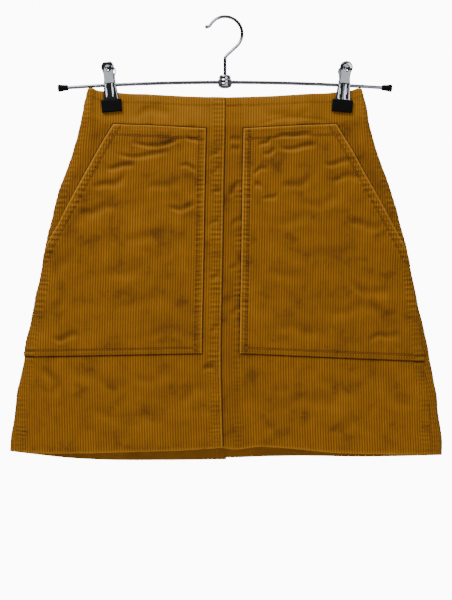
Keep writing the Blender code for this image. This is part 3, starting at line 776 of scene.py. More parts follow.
def laid(name, cut, material, inside, ground=GROUND, wales=True):
    """A piece of cloth: its wales laid down the form as a grid, with a smooth inner face and turned edges."""
    columns, rows = round((cut.stop - cut.start) / COLUMN), cut.rows
    bm = bmesh.new()
    bmesh.ops.create_grid(bm, x_segments=columns, y_segments=len(rows) - 1, size=0.5)
    sheet = mesh_from(bm)
    flat = np.empty(len(sheet.vertices) * 3)
    sheet.vertices.foreach_get("co", flat)
    flat = flat.reshape(-1, 3)
    column = np.rint((flat[:, 0] + 0.5) * columns).astype(int)
    row = np.rint((0.5 - flat[:, 1]) * (len(rows) - 1)).astype(int)
    spots = cut.settle(cut.start + column * COLUMN, rows[row])
    relief = cut.relief(spots)
    moved = np.abs(cut.wale_at(spots) - column * COLUMN) > 1e-7
    rib = np.where(moved, -0.0001, RELIEF[column % 3]) if wales else 0.0
    arcs = cut.arcs(spots)
    outer = placed(arcs, spots.heights, relief.form + relief.edge + rib)
    inner = placed(arcs, spots.heights, relief.form - ground)

    sheet.vertices.foreach_set("co", outer.ravel())
    woven = np.stack([cut.wale_at(spots), -spots.heights, np.full_like(arcs, cut.side * cut.facing)], axis=1)
    for key, kind, field, values in (
        ("cut", "FLOAT_VECTOR", "vector", woven),
        ("inner", "FLOAT_VECTOR", "vector", inner),
        ("pressed", "FLOAT", "value", relief.pressed),
        ("worn", "FLOAT", "value", relief.worn),
        ("hollow", "FLOAT", "value", relief.hollow),
        ("away", "FLOAT", "value", relief.away),
    ):
        layer = sheet.attributes.new(key, kind, "POINT")
        layer.data.foreach_set(field, values.astype(np.float32).ravel())
    bm = bmesh.new()
    bm.from_mesh(sheet)
    bmesh.ops.remove_doubles(bm, verts=bm.verts, dist=1e-6)
    if cut.side * cut.facing < 0:
        bmesh.ops.reverse_faces(bm, faces=bm.faces)
    open_sheet = mesh_from(bm)

    obj = piece(name + "_cloth", open_sheet, material, [name], sharp=60)
    open_sheet.materials.append(inside)
    wall = obj.modifiers.new("wall", "SOLIDIFY")
    wall.thickness, wall.offset, wall.material_offset = ground, -1, 1
    solid = bpy.data.meshes.new_from_object(obj.evaluated_get(bpy.context.evaluated_depsgraph_get()))
    obj.modifiers.clear()
    obj.data = solid
    count = len(open_sheet.vertices)
    spot = np.empty(count * 6)
    solid.vertices.foreach_get("co", spot)
    kept = np.empty(count * 6, np.float32)
    solid.attributes["inner"].data.foreach_get("vector", kept)
    spot[count * 3 :] = kept[count * 3 :]
    solid.vertices.foreach_set("co", spot)
    solid.attributes.remove(solid.attributes["inner"])
    solid.set_sharp_from_angle(angle=math.radians(60))
    solid.update()
    return obj


def stitched(name, cut, lines, thread, pitch=0.0032, length=0.0025):
    """Rows of stitches: each line is a list of distances across and heights on the piece."""
    bm = bmesh.new()
    for across, heights in lines:
        spots = Spots(across, heights, across, across)
        upper, lower = cut.edges(across)
        spots = Spots(across, heights, upper - heights, heights - lower)
        out = cut.relief(spots).form + 0.00042
        arcs = cut.arcs(spots)
        line = placed(arcs, heights, out)
        above = placed(arcs, heights, out + 0.001)
        run = np.concatenate([[0.0], np.cumsum(np.linalg.norm(np.diff(line, axis=0), axis=1))])
        for middle in np.arange(pitch / 2, run[-1] - pitch / 3, pitch):
            at = [
                Vector([np.interp(middle + d, run, line[:, i]) for i in range(3)]) for d in (-0.001, 0, 0.001)
            ]
            up = Vector([np.interp(middle, run, above[:, i]) for i in range(3)]) - at[1]
            along_row = (at[2] - at[0]).normalized()
            beside = along_row.cross(up).normalized()
            up = beside.cross(along_row)
            turn = Matrix((beside * 0.00034, up * 0.00026, along_row * length / 2)).transposed().to_4x4()
            bmesh.ops.create_uvsphere(
                bm, u_segments=6, v_segments=4, radius=1, matrix=Matrix.Translation(at[1]) @ turn
            )
    bmesh.ops.recalc_face_normals(bm, faces=bm.faces)
    return piece(name, mesh_from(bm), thread, sharp=80)


def wire(name, points, radius, material, nodes=(), radii=None, sides=5, body="garment"):
    """A round wire along the points, with closed ends, as a mesh."""
    curve = bpy.data.curves.new(name, "CURVE")
    curve.dimensions = "3D"
    curve.bevel_depth = radius
    curve.bevel_resolution = sides
    curve.use_fill_caps = True
    spline = curve.splines.new("POLY")
    spline.points.add(len(points) - 1)
    for i, (spot, point) in enumerate(zip(spline.points, points)):
        spot.co = (*point, 1.0)
        spot.radius = 1.0 if radii is None else radii[i]
    source = bpy.data.objects.new(name + "_line", curve)
    bpy.context.scene.collection.objects.link(source)
    mesh = bpy.data.meshes.new_from_object(source.evaluated_get(bpy.context.evaluated_depsgraph_get()))
    bpy.data.objects.remove(source)
    return piece(name, mesh, material, nodes, body)


def eased(points, steps):
    """A smooth line through the points, with steps between each two."""
    points = [Vector(point) for point in points]
    ends = [2 * points[0] - points[1], *points, 2 * points[-1] - points[-2]]
    line = []
    for a, b, c, d in zip(ends, ends[1:], ends[2:], ends[3:]):
        for share in np.arange(steps) / steps:
            bend = (2 * a - 5 * b + 4 * c - d) * share**2 + (3 * b - a - 3 * c + d) * share**3
            line.append(b + ((c - a) * share + bend) / 2)
    return [*line, points[-1]]


# ---- materials ----
def linear(colour, alpha=1.0):
    """An sRGB hex colour as linear red, green and blue."""
    parts = [int(colour[i : i + 2], 16) / 255 for i in (1, 3, 5)]
    return (*(p / 12.92 if p <= 0.04045 else ((p + 0.055) / 1.055) ** 2.4 for p in parts), alpha)


def new_material(name, **constants):
    material = bpy.data.materials.new(name)
    material.use_nodes = True
    shader = material.node_tree.nodes["Principled BSDF"]
    for key, value in constants.items():
        shader.inputs[key.replace("_", " ")].default_value = value
    return material, material.node_tree, shader


def add(tree, kind, inputs, out=0, **settings):
    """Adds a node with its settings, and its inputs as constants or links. Returns one of its outputs."""
    node = tree.nodes.new(kind)
    for key, value in settings.items():
        setattr(node, key, value)
    for key, value in inputs.items():
        if isinstance(value, bpy.types.NodeSocket):
            tree.links.new(value, node.inputs[key])
        else:
            node.inputs[key].default_value = value
    return node.outputs[out]


def corduroy():
    """Ochre cotton corduroy, washed: matt wales with pale crests, dark grooves and a worn, mottled nap;
    painted shade darkens grooves, creases and the sides of sewn edges, and painted light brightens up-facing
    crease slopes.
    """
    material, tree, shader = new_material(
        "ochre_cotton_corduroy",
        Sheen_Weight=0.25,
        Sheen_Roughness=0.45,
        Sheen_Tint=linear("#F0B050"),
        Specular_IOR_Level=0.15,
    )
    cut = add(tree, "ShaderNodeAttribute", {}, "Vector", attribute_name="cut")
    pressed = add(tree, "ShaderNodeAttribute", {}, "Fac", attribute_name="pressed")
    worn = add(tree, "ShaderNodeAttribute", {}, "Fac", attribute_name="worn")
    hollow = add(tree, "ShaderNodeAttribute", {}, "Fac", attribute_name="hollow")
    away = add(tree, "ShaderNodeAttribute", {}, "Fac", attribute_name="away")
    parts = tree.nodes.new("ShaderNodeSeparateXYZ")
    tree.links.new(cut, parts.inputs[0])
    across, down = parts.outputs[0], parts.outputs[1]

    # the wale's section, 0 in the groove and 1 on the crest; the groove's darker colour is partly the bare
    # ground weave and partly painted shade
    swing = add(tree, "ShaderNodeMath", {0: across, 1: WALE / 2}, operation="PINGPONG")
    section = add(
        tree,
        "ShaderNodeMapRange",
        {"Value": swing, "From Min": WALE * 0.04, "From Max": WALE * 0.36},
        interpolation_type="SMOOTHSTEP",
    )
    # each wale's own wear, tufts of nap 1 mm by 2 mm, and slow patches 30 mm and 90 mm wide
    scaled = {}
    for key, scale in (
        ("streak", (1 / 0.0042, 1 / 0.040, 3.0)),
        ("nap", (1 / 0.0010, 1 / 0.0021, 5.0)),
        ("patch", (1 / 0.030, 1 / 0.024, 7.0)),
        ("cloud", (1 / 0.090, 1 / 0.110, 9.0)),
    ):
        spot = add(tree, "ShaderNodeVectorMath", {0: cut, 1: scale}, operation="MULTIPLY")
        scaled[key] = add(
            tree, "ShaderNodeTexNoise", {"Vector": spot, "Scale": 1.0, "Detail": 3.0, "Roughness": 0.6}
        )
    step = add(tree, "ShaderNodeMath", {0: down, 1: math.tau / 0.0056}, operation="MULTIPLY")
    rungs = add(tree, "ShaderNodeMath", {0: step}, operation="SINE")
    ladder = add(tree, "ShaderNodeMath", {0: rungs, 1: pressed}, operation="MULTIPLY")

    lit = add(
        tree,
        "ShaderNodeMath",
        {0: scaled["nap"], 1: 0.55, 2: -0.28},
        operation="MULTIPLY_ADD",
    )
    lit = add(tree, "ShaderNodeMath", {0: section, 1: lit}, operation="ADD", use_clamp=True)
    colour = add(
        tree,
        "ShaderNodeMix",
        {"Factor": lit, "A": linear(GROOVE_WITH_PAINTED_SHADE_COLOUR), "B": linear(CREST_COLOUR)},
        2,
        data_type="RGBA",
    )
    tone = add(
        tree,
        "ShaderNodeMath",
        {0: scaled["patch"], 1: 0.75, 2: 0.27},
        operation="MULTIPLY_ADD",
    )
    tone = add(tree, "ShaderNodeMath", {0: scaled["cloud"], 1: 0.30, 2: tone}, operation="MULTIPLY_ADD")
    tone = add(tree, "ShaderNodeMath", {0: scaled["streak"], 1: 0.42, 2: tone}, operation="MULTIPLY_ADD")
    tone = add(tree, "ShaderNodeMath", {0: ladder, 1: 0.12, 2: tone}, operation="MULTIPLY_ADD")
    colour = add(
        tree,
        "ShaderNodeVectorMath",
        {0: colour, "Scale": tone},
        operation="SCALE",
    )
    # painted shade: darker in the creases' troughs and on their down-facing slopes, and a painted shadow line
    # beside the edges and stitch rows of what is sewn on
    beside = add(
        tree,
        "ShaderNodeMapRange",
        {"Value": away, "From Min": 0.0004, "From Max": 0.0030, "To Min": 0.90, "To Max": 0.0},
        interpolation_type="SMOOTHSTEP",
    )
    blotch = add(
        tree,
        "ShaderNodeMapRange",
        {"Value": scaled["patch"], "From Min": 0.46, "From Max": 0.28, "To Min": 0.0, "To Max": 0.30},
        interpolation_type="SMOOTHSTEP",
    )
    # painted shade from the creases and the sewn edges, plus the cloth's real mottled blotches, both mixed
    # toward one dark colour
    shade = add(tree, "ShaderNodeMath", {0: hollow, 1: 0.50, 2: beside}, operation="MULTIPLY_ADD")
    shade = add(tree, "ShaderNodeMath", {0: shade, 1: blotch}, operation="ADD")
    dark = add(tree, "ShaderNodeMath", {0: shade, 1: 0.0}, operation="MAXIMUM", use_clamp=True)
    colour = add(
        tree, "ShaderNodeMix", {"Factor": dark, "A": colour, "B": linear(PAINTED_SHADE_AND_MOTTLE_COLOUR)}, 2, data_type="RGBA"
    )
    # painted light: up-facing crease slopes, raised ripples and the fronts' top band mixed toward the pale
    # worn colour
    bright = add(tree, "ShaderNodeMath", {0: hollow, 1: -0.30}, operation="MULTIPLY", use_clamp=True)
    colour = add(
        tree, "ShaderNodeMix", {"Factor": bright, "A": colour, "B": linear(WORN_AND_PAINTED_LIGHT_COLOUR)}, 2, data_type="RGBA"
    )
    wear = add(tree, "ShaderNodeMath", {0: scaled["nap"], 1: 1.5}, operation="MULTIPLY", use_clamp=True)
    wear = add(tree, "ShaderNodeMath", {0: worn, 1: wear}, operation="MULTIPLY")
    colour = add(
        tree,
        "ShaderNodeMix",
        {"Factor": wear, "A": colour, "B": linear(WORN_AND_PAINTED_LIGHT_COLOUR)},
        2,
        data_type="RGBA",
    )
    tree.links.new(colour, shader.inputs["Base Color"])
    rough = add(tree, "ShaderNodeMath", {0: scaled["nap"], 1: 0.15, 2: 0.84}, operation="MULTIPLY_ADD")
    tree.links.new(rough, shader.inputs["Roughness"])

    # heights in millimetres
    height = add(tree, "ShaderNodeMath", {0: section, 1: 0.28}, operation="MULTIPLY")
    height = add(tree, "ShaderNodeMath", {0: scaled["nap"], 1: 0.30, 2: height}, operation="MULTIPLY_ADD")
    height = add(tree, "ShaderNodeMath", {0: scaled["patch"], 1: 1.2, 2: height}, operation="MULTIPLY_ADD")
    height = add(tree, "ShaderNodeMath", {0: ladder, 1: 0.26, 2: height}, operation="MULTIPLY_ADD")
    bump = add(tree, "ShaderNodeBump", {"Height": height, "Distance": 0.001, "Strength": 1.0})
    tree.links.new(bump, shader.inputs["Normal"])
    return material


def woven(name, dark, light, spacing):
    """A plain woven cotton face: fine threads both ways, matt, a little paler on their backs."""
    material, tree, shader = new_material(name, Roughness=0.92, Specular_IOR_Level=0.15, Sheen_Weight=0.1)
    cut = add(tree, "ShaderNodeAttribute", {}, "Vector", attribute_name="cut")
    parts = tree.nodes.new("ShaderNodeSeparateXYZ")
    tree.links.new(cut, parts.inputs[0])
    threads = []
    for output in parts.outputs[:2]:
        turned = add(tree, "ShaderNodeMath", {0: output, 1: math.tau / spacing}, operation="MULTIPLY")
        threads.append(add(tree, "ShaderNodeMath", {0: turned}, operation="SINE"))
    weave = add(tree, "ShaderNodeMath", {0: threads[0], 1: threads[1]}, operation="MULTIPLY")
    spot = add(tree, "ShaderNodeVectorMath", {0: cut, 1: (1 / 0.02, 1 / 0.02, 3.0)}, operation="MULTIPLY")
    patch = add(tree, "ShaderNodeTexNoise", {"Vector": spot, "Scale": 1.0, "Detail": 4.0})
    mixed = add(tree, "ShaderNodeMath", {0: weave, 1: 0.25, 2: patch}, operation="MULTIPLY_ADD")
    colour = add(
        tree,
        "ShaderNodeMix",
        {"Factor": mixed, "A": linear(dark), "B": linear(light)},
        2,
        data_type="RGBA",
    )
    tree.links.new(colour, shader.inputs["Base Color"])
    bump = add(tree, "ShaderNodeBump", {"Height": weave, "Distance": 0.0001, "Strength": 0.8})
    tree.links.new(bump, shader.inputs["Normal"])
    return material


def speckled(name, dark, light, size, rough, bump_by, **constants):
    """A solid whose colour, gloss and surface vary a little over spots of one size in metres."""
    material, tree, shader = new_material(name, **constants)
    spot = add(tree, "ShaderNodeTexCoord", {}, "Object")
    grain = add(
        tree, "ShaderNodeTexNoise", {"Vector": spot, "Scale": 1 / size, "Detail": 4.0, "Roughness": 0.55}
    )
    colour = add(
        tree,
        "ShaderNodeMix",
        {"Factor": grain, "A": linear(dark), "B": linear(light)},
        2,
        data_type="RGBA",
    )
    tree.links.new(colour, shader.inputs["Base Color"])
    gloss = add(
        tree, "ShaderNodeMapRange", {"Value": grain, "To Min": rough[0], "To Max": rough[1]}
    )
    tree.links.new(gloss, shader.inputs["Roughness"])
    bump = add(tree, "ShaderNodeBump", {"Height": grain, "Distance": bump_by, "Strength": 1.0})
    tree.links.new(bump, shader.inputs["Normal"])
    return material


# partly the bare ground weave's colour and partly painted shade in the grooves
GROOVE_WITH_PAINTED_SHADE_COLOUR = "#5C370B"
CREST_COLOUR = "#885811"
# the pale of real worn edges, also used for painted light
WORN_AND_PAINTED_LIGHT_COLOUR = "#C0862A"
# the dark toward which painted shade and the real mottled blotches are mixed
PAINTED_SHADE_AND_MOTTLE_COLOUR = "#331803"
CORDUROY = corduroy()
# the corduroy's woven back, a shade paler and quite plain; its threads are drawn at three times their size
CORDUROY_BACK = woven("corduroy_woven_back", "#7A4B0C", "#93611A", 0.0010)
# herringbone cotton tape, drawn at 0.8 mm a thread
ZIP_TAPE = woven("woven_zip_tape", "#7A4A08", "#8F5B10", 0.0008)
# spun polyester thread, a shade brighter than the cloth and slightly glossy
THREAD = speckled(
    "polyester_thread", "#855409", "#A36C14", 0.0012, (0.60, 0.80), 0.00008, Specular_IOR_Level=0.3
)
# bright chrome plate on steel, with the faint haze of handling
CHROME = speckled("chrome_plated_steel", "#9C9EA8", "#B9BBC4", 0.009, (0.05, 0.12), 0.00001, Metallic=1.0)
# drawn wire under the same plate, with a darker colour: a painted reflection of the dim studio, which it
# shows more of than the flat parts do
CHROME_WIRE_PAINTED_DARKER = speckled("chrome_plated_wire_painted_darker", "#6C6E78", "#8B8D97", 0.006, (0.08, 0.16), 0.00001, Metallic=1.0)
# moulded black rubber: dull, with fine pits that catch the light
RUBBER = speckled(
    "moulded_black_rubber", "#020203", "#070709", 0.0016, (0.50, 0.70), 0.00009, Specular_IOR_Level=0.07
)
# the zip's slider and pull, lacquered in the cloth's colour over brass
ZIP_PAINT = speckled(
    "lacquered_brass", "#86520C", "#A0661A", 0.004, (0.30, 0.42), 0.00002, Metallic=0.55, Coat_Weight=0.3
)


def row_across(cut, low, high, below_top=None, above_foot=None):
    """A stitch line across a piece, at a distance below its top edge or above its foot."""
    across = np.linspace(low, high, 220)
    upper, lower = cut.edges(across)
    return across, (upper - below_top if above_foot is None else lower + above_foot)


def row_down(across, top, foot):
    heights = np.linspace(top, foot, 260)
    return np.full_like(heights, across), heights


def bar_tack(across, height, wide):
    """A short dense bar across the line, as rows of stitches side by side."""
    return [
        (across + np.linspace(-wide / 2, wide / 2, 8), np.full(8, height - 0.0007 * i)) for i in range(5)
    ]


def build_fronts():
    for name, side, area in (("front_left", 1, 0.109), ("front_right", -1, 0.1025)):
        cut = Front(side)
        panel = laid(name, cut, CORDUROY, CORDUROY_BACK)
        top = float(cut.width(np.array([-0.095]))[0])
        lines = [row_across(cut, 0.0155 if side > 0 else 0.001, top - 0.001, below_top=WAIST_ROW)]
        if side < 0:
            lines += [row_down(0.0028, -0.1015, -0.5355), row_down(0.0134, -0.1015, -0.5370)]
        thread = stitched(f"{name}_stitches", cut, lines, THREAD)


def build_backs():
    for name, side in (("back_left", 1), ("back_right", -1)):
        cut = Back(side)
        panel = laid(name, cut, CORDUROY, CORDUROY_BACK)
        top = float(cut.width(np.array([-0.095]))[0])
        thread = stitched(
            f"{name}_stitches", cut, [row_across(cut, 0.001, top - 0.001, below_top=WAIST_ROW)], THREAD
        )


def build_pockets():
    for name, side in (("pocket_left", 1), ("pocket_right", -1)):
        cut = Pocket(side)
        patch = laid(name, cut, CORDUROY, CORDUROY_BACK)
        foot = float(cut.width(np.array([POCKET_BOTTOM[side][1]]))[0])
        corner = POCKET_INNER + POCKET_TOP_WIDTH
        lines = []
        for inset in (0.0020, 0.0082):
            top, bottom = POCKET_TOP[0] - 0.001, POCKET_BOTTOM[side][0] + 0.001
            lines.append(row_down(POCKET_INNER + inset, top, bottom))
        for inset in (0.0060, 0.0135):
            lines.append(row_across(cut, POCKET_INNER + 0.002, corner - 0.004 + inset / 2, below_top=inset))
        for inset in (0.0015, 0.0070):
            lines.append(row_across(cut, POCKET_INNER + 0.002, foot - 0.002, above_foot=inset))
        heights = np.linspace(POCKET_TOP[1] - 0.001, MOUTH_END + 0.001, 200)
        for inset in (0.0024, 0.0092):
            lines.append((cut.width(heights) - inset / 0.90, heights))
        lines += bar_tack(float(cut.width(np.array([-0.302]))[0]) - 0.006, -0.302, 0.009)
        lines += bar_tack(corner - 0.004, -0.1355, 0.007)
        thread = stitched(f"{name}_stitches", cut, lines, THREAD)


def build_zip():
    for name, side in (("zip_tape_left", 1), ("zip_tape_right", -1)):
        cut = Tape(side)
        tape = laid(name, cut, ZIP_TAPE, ZIP_TAPE, ground=0.0006, wales=False)
        turns = 108
        angles = np.linspace(0, turns * math.tau, turns * 10)
        heights = np.linspace(ZIP_TOP - 0.002, ZIP_BOTTOM + 0.002, len(angles))
        arcs = side * (back_arc(side, heights) - 0.0013 - 0.0009 * np.cos(angles))
        coil = placed(arcs, heights, -WALL - SEAM_GAP - 0.0016 + 0.0006 * np.sin(angles))
        coil = [Vector(point) for point in coil]
        teeth = wire(name.replace("tape", "coil"), coil, COIL_WIRE, ZIP_TAPE, sides=0)


def build_slider():
    """The slider's body with its bail, and the pull that hangs from it."""
    bm = bmesh.new()
    bmesh.ops.create_cube(bm, size=1, matrix=Matrix.Diagonal((0.0052, 0.0028, 0.0084, 1)))
    bmesh.ops.subdivide_edges(bm, edges=bm.edges, cuts=3, use_grid_fill=True)
    for vertex in bm.verts:
        fallen = 0.5 - vertex.co.z / 0.0084
        vertex.co.x *= 0.98 - 0.26 * fallen**2
        vertex.co.y *= 1 - 0.25 * abs(vertex.co.x / 0.0026) ** 2
    rim = [edge for edge in bm.edges if edge.calc_face_angle(0) > 0.7]
    bmesh.ops.bevel(bm, geom=rim, offset=0.0004, segments=2, profile=0.5, affect="EDGES", material=-1)
    body_middle = Vector((0, PULL_AXIS.y - 0.0009 - 0.0015, PULL_AXIS.z))
    bmesh.ops.translate(bm, verts=bm.verts, vec=body_middle)
    bail = bmesh.new()
    bmesh.ops.create_circle(
        bail,
        segments=10,
        radius=0.00058,
        matrix=Matrix.Translation((0, 0, 0.0024)) @ Matrix.Rotation(math.pi / 2, 4, "Y"),
    )
    ring = bail.edges[:]
    bmesh.ops.spin(
        bail,
        geom=ring,
        cent=(0, 0, 0),
        axis=(1, 0, 0),
        angle=math.tau,
        steps=28,
        use_merge=True,
    )
    bmesh.ops.translate(bail, verts=bail.verts, vec=(0, PULL_AXIS.y - 0.0009, PULL_AXIS.z))
    loop = mesh_from(bail)
    bm.from_mesh(loop)
    bmesh.ops.remove_doubles(bm, verts=bm.verts, dist=1e-6)
    bmesh.ops.recalc_face_normals(bm, faces=bm.faces)
    piece("zip_slider_body", mesh_from(bm), ZIP_PAINT, ["zip_slider"], sharp=35)

    bm = bmesh.new()
    outline = bmesh.ops.create_circle(bm, segments=40, radius=1)["verts"]
    for vertex in outline:
        x, z = vertex.co.x, vertex.co.y
        squared = 1 / max(abs(x), abs(z)) ** 0.62
        wide = 0.0031 * (1 - 0.14 * (1 - z) ** 1.5 / 2.8)
        vertex.co = (x * squared * wide * 0.98, 0, z * squared * 0.0122 - 0.0119)
    window = bmesh.ops.create_circle(bm, segments=40, radius=1)["verts"]
    for vertex in window:
        vertex.co = (vertex.co.x * 0.0016, 0, vertex.co.y * 0.0019 - 0.0024)
    bmesh.ops.bridge_loops(bm, edges=bm.edges[:])
    bmesh.ops.recalc_face_normals(bm, faces=bm.faces)
    bmesh.ops.solidify(bm, geom=bm.faces[:] + bm.verts[:] + bm.edges[:], thickness=0.0010)
    rim = [edge for edge in bm.edges if len(edge.link_faces) == 2 and edge.calc_face_angle(0) > 1.0]
    bmesh.ops.bevel(bm, geom=rim, offset=0.00025, segments=2, profile=0.5, affect="EDGES", material=-1)
    bmesh.ops.recalc_face_normals(bm, faces=bm.faces)
    ys = [vertex.co.y for vertex in bm.verts]
    centred = -(min(ys) + max(ys)) / 2
    bmesh.ops.translate(bm, verts=bm.verts, vec=(0, centred + PULL_AXIS.y, PULL_AXIS.z))
    piece("zip_pull_tab", mesh_from(bm), ZIP_PAINT, ["zip_pull"], "zip_pull", sharp=35)


# ---- the hanger ----
def rod_height(x):
    return ROD_HEIGHT - ROD_DROOP * (x / ROD_HALF) ** 2


def rod_slope(x):
    return math.atan(-2 * ROD_DROOP * x / ROD_HALF**2)


def turned(profile, steps=40):
    """A solid turned about Z from its profile of radii and heights, closed at both ends."""
    bm = bmesh.new()
    spots = [bm.verts.new((radius, 0, height)) for radius, height in profile]
    for upper, lower in zip(spots, spots[1:]):
        bm.edges.new((upper, lower))
    bmesh.ops.spin(
        bm,
        geom=bm.verts[:] + bm.edges[:],
        cent=(0, 0, 0),
        axis=(0, 0, 1),
        angle=math.tau,
        steps=steps,
        use_merge=True,
    )
    bmesh.ops.remove_doubles(bm, verts=bm.verts, dist=1e-6)
    bmesh.ops.recalc_face_normals(bm, faces=bm.faces)
    return bm


def build_hook():
    middle = Vector((0, 0, -(HOOK_RADIUS - WIRE)))
    arc = [
        middle + HOOK_RADIUS * Vector((math.cos(angle), 0, math.sin(angle)))
        for angle in np.linspace(math.radians(152), math.radians(-40), 24)
    ]
    tip = [arc[0] + Vector((-0.0062, 0, -0.0012)), arc[0] + Vector((-0.0030, 0, -0.0014))]
    foot = Vector((0, 0, NECK_HEIGHT))
    run = foot - arc[-1]
    neck = [arc[-1] + run * share for share in (0.3, 0.6, 0.90)]
    stem = [Vector((0, 0, NECK_HEIGHT - drop)) for drop in (0.0028, 0.012, 0.0257)]
    points = eased(tip + arc + neck + stem, 5)
    radii = [1.0] * len(points)
    for i, radius in enumerate((0.72, 1.02, 1.12, 1.14, 1.12, 1.06)):
        radii[i] = radius
    wire("hook_wire", points, WIRE, CHROME_WIRE_PAINTED_DARKER, ["hook"], radii, sides=7)


def build_hub():
    """A collar with a chamfered top, a plain band round the bar, and a domed foot."""
    bore = WIRE + 0.0002
    profile = (
        (bore, HUB_TOP - 0.0016),
        (bore, HUB_TOP - 0.0001),
        (0.0040, HUB_TOP),
        (0.0058, HUB_TOP - 0.0001),
        (0.0064, HUB_TOP - 0.0004),
        (0.0073, HUB_TOP - 0.0014),
        (0.0075, HUB_TOP - 0.0018),
        (0.0075, HUB_TOP - 0.0046),
        (0.0073, HUB_TOP - 0.0050),
        (0.0073, HUB_TOP - 0.0054),
        (0.0084, HUB_TOP - 0.0057),
        (0.0087, HUB_TOP - 0.0060),
        (0.0087, HUB_BOTTOM + 0.0062),
        (0.0084, HUB_BOTTOM + 0.0058),
        (0.0084, HUB_BOTTOM + 0.0052),
        (0.0087, HUB_BOTTOM + 0.0048),
        (0.0083, HUB_BOTTOM + 0.0028),
        (0.0072, HUB_BOTTOM + 0.0013),
        (0.0052, HUB_BOTTOM + 0.0004),
        (0.0026, HUB_BOTTOM + 0.0001),
        (0.0000, HUB_BOTTOM),
    )
    piece("hub_collar", mesh_from(turned(profile, 48)), CHROME, ["hub"], sharp=50)


def build_rod():
    xs = np.linspace(-ROD_HALF, ROD_HALF, 61)
    wire("bar", [Vector((x, 0, rod_height(x))) for x in xs], ROD, CHROME_WIRE_PAINTED_DARKER, ["rod"], sides=7)
    for name, side in (("end_cap_left", 1), ("end_cap_right", -1)):
        middle = side * (ROD_HALF + 0.0015)
        turn = Matrix.Rotation(-rod_slope(middle) + side * math.pi / 2, 4, "Y")
        profile = (
            (0.0000, 0.0065),
            (0.0034, 0.0064),
            (0.0045, 0.0058),
            (0.0049, 0.0047),
            (0.0047, 0.0034),
            (0.0042, 0.0010),
            (0.0038, -0.0020),
            (0.0036, -0.0048),
            (0.0037, -0.0057),
            (0.0034, -0.0063),
            (0.0028, -0.0065),
            (ROD + 0.0002, -0.0062),
            (ROD + 0.0001, -0.0020),
        )
        place = Matrix.Translation((middle, 0, rod_height(middle))) @ turn
        piece(f"{name}_rubber", mesh_from(turned(profile, 32), place), RUBBER, [name], sharp=50)


Lever = namedtuple("Lever", "height half_width away")
LEVER = (
    Lever(-0.0184, 0.0098, 0.0048),
    Lever(-0.0120, 0.0090, 0.0052),
    Lever(-0.0050, 0.0080, 0.0057),
    Lever(0.0010, 0.0073, 0.0066),
    Lever(0.0080, 0.0063, 0.0104),
    Lever(0.0140, 0.0066, 0.0140),
    Lever(0.0200, 0.0081, 0.0163),
    Lever(0.0245, 0.0066, 0.0172),
    Lever(0.0272, 0.0034, 0.0176),
)


def lever_mesh(facing, place, ear_x):
    """A stamped lever: a round dimpled thumb end, two flutes down to the pads, turned edges and two ears."""
    bm = bmesh.new()
    bmesh.ops.create_grid(bm, x_segments=22, y_segments=52, size=0.5)
    foot, head = LEVER[0].height, LEVER[-1].height + 0.0006
    for vertex in bm.verts:
        u, height = vertex.co.x * 2, foot + (head - foot) * (vertex.co.y + 0.5)
        half = float(along(LEVER, "half_width", np.array(height)))
        if height > 0.0150:
            if height > THUMB_HEIGHT:
                half = min(half, math.sqrt(max(THUMB**2 - (height - THUMB_HEIGHT) ** 2, 0.0)))
            half = max(half, 0.0004)
        away = float(along(LEVER, "away", np.array(height)))
        x = half * math.sin(u * math.pi / 2) * 0.35 + half * u * 0.65
        low = 1 - float(smooth((height - 0.0010) / 0.0060))
        low *= float(smooth((height + 0.0178) / 0.003))
        flute = math.exp(-(((abs(x) - 0.0040) / 0.0008) ** 2)) * low
        dimple = math.hypot(x, height - 0.0188)
        away -= 0.0008 * flute
        away -= 0.0014 * (1 - float(smooth((dimple - 0.0020) / 0.0012)))
        away += 0.0003 * math.exp(-(((dimple - 0.0046) / 0.0007) ** 2))
        away -= 0.0013 * max(0.0, (abs(u) - 0.80) / 0.20) ** 2
        away -= 0.0010 * float(smooth((height - 0.0252) / 0.0026))
        vertex.co = (facing * x, -facing * away, height)
    bmesh.ops.remove_doubles(bm, verts=bm.verts, dist=1e-6)
    bmesh.ops.solidify(bm, geom=bm.faces[:] + bm.verts[:] + bm.edges[:], thickness=0.0010)
    bmesh.ops.recalc_face_normals(bm, faces=bm.faces)
    for ear_side in (-1, 1):
        ear = bmesh.new()
        lying = Matrix.Rotation(math.pi / 2, 4, "Y")
        bmesh.ops.create_cone(ear, cap_ends=True, segments=28, radius1=0.0054, radius2=0.0054, depth=0.0010)
        rim = [edge for edge in ear.edges if edge.calc_face_angle(0) > 1.0]
        bmesh.ops.bevel(ear, geom=rim, offset=0.0002, segments=2, profile=0.5, affect="EDGES", material=-1)
        at = Matrix.Translation((ear_side * ear_x, -facing * 0.0009, 0)) @ lying
        bm.from_mesh(mesh_from(ear, at))
    return mesh_from(bm, place)


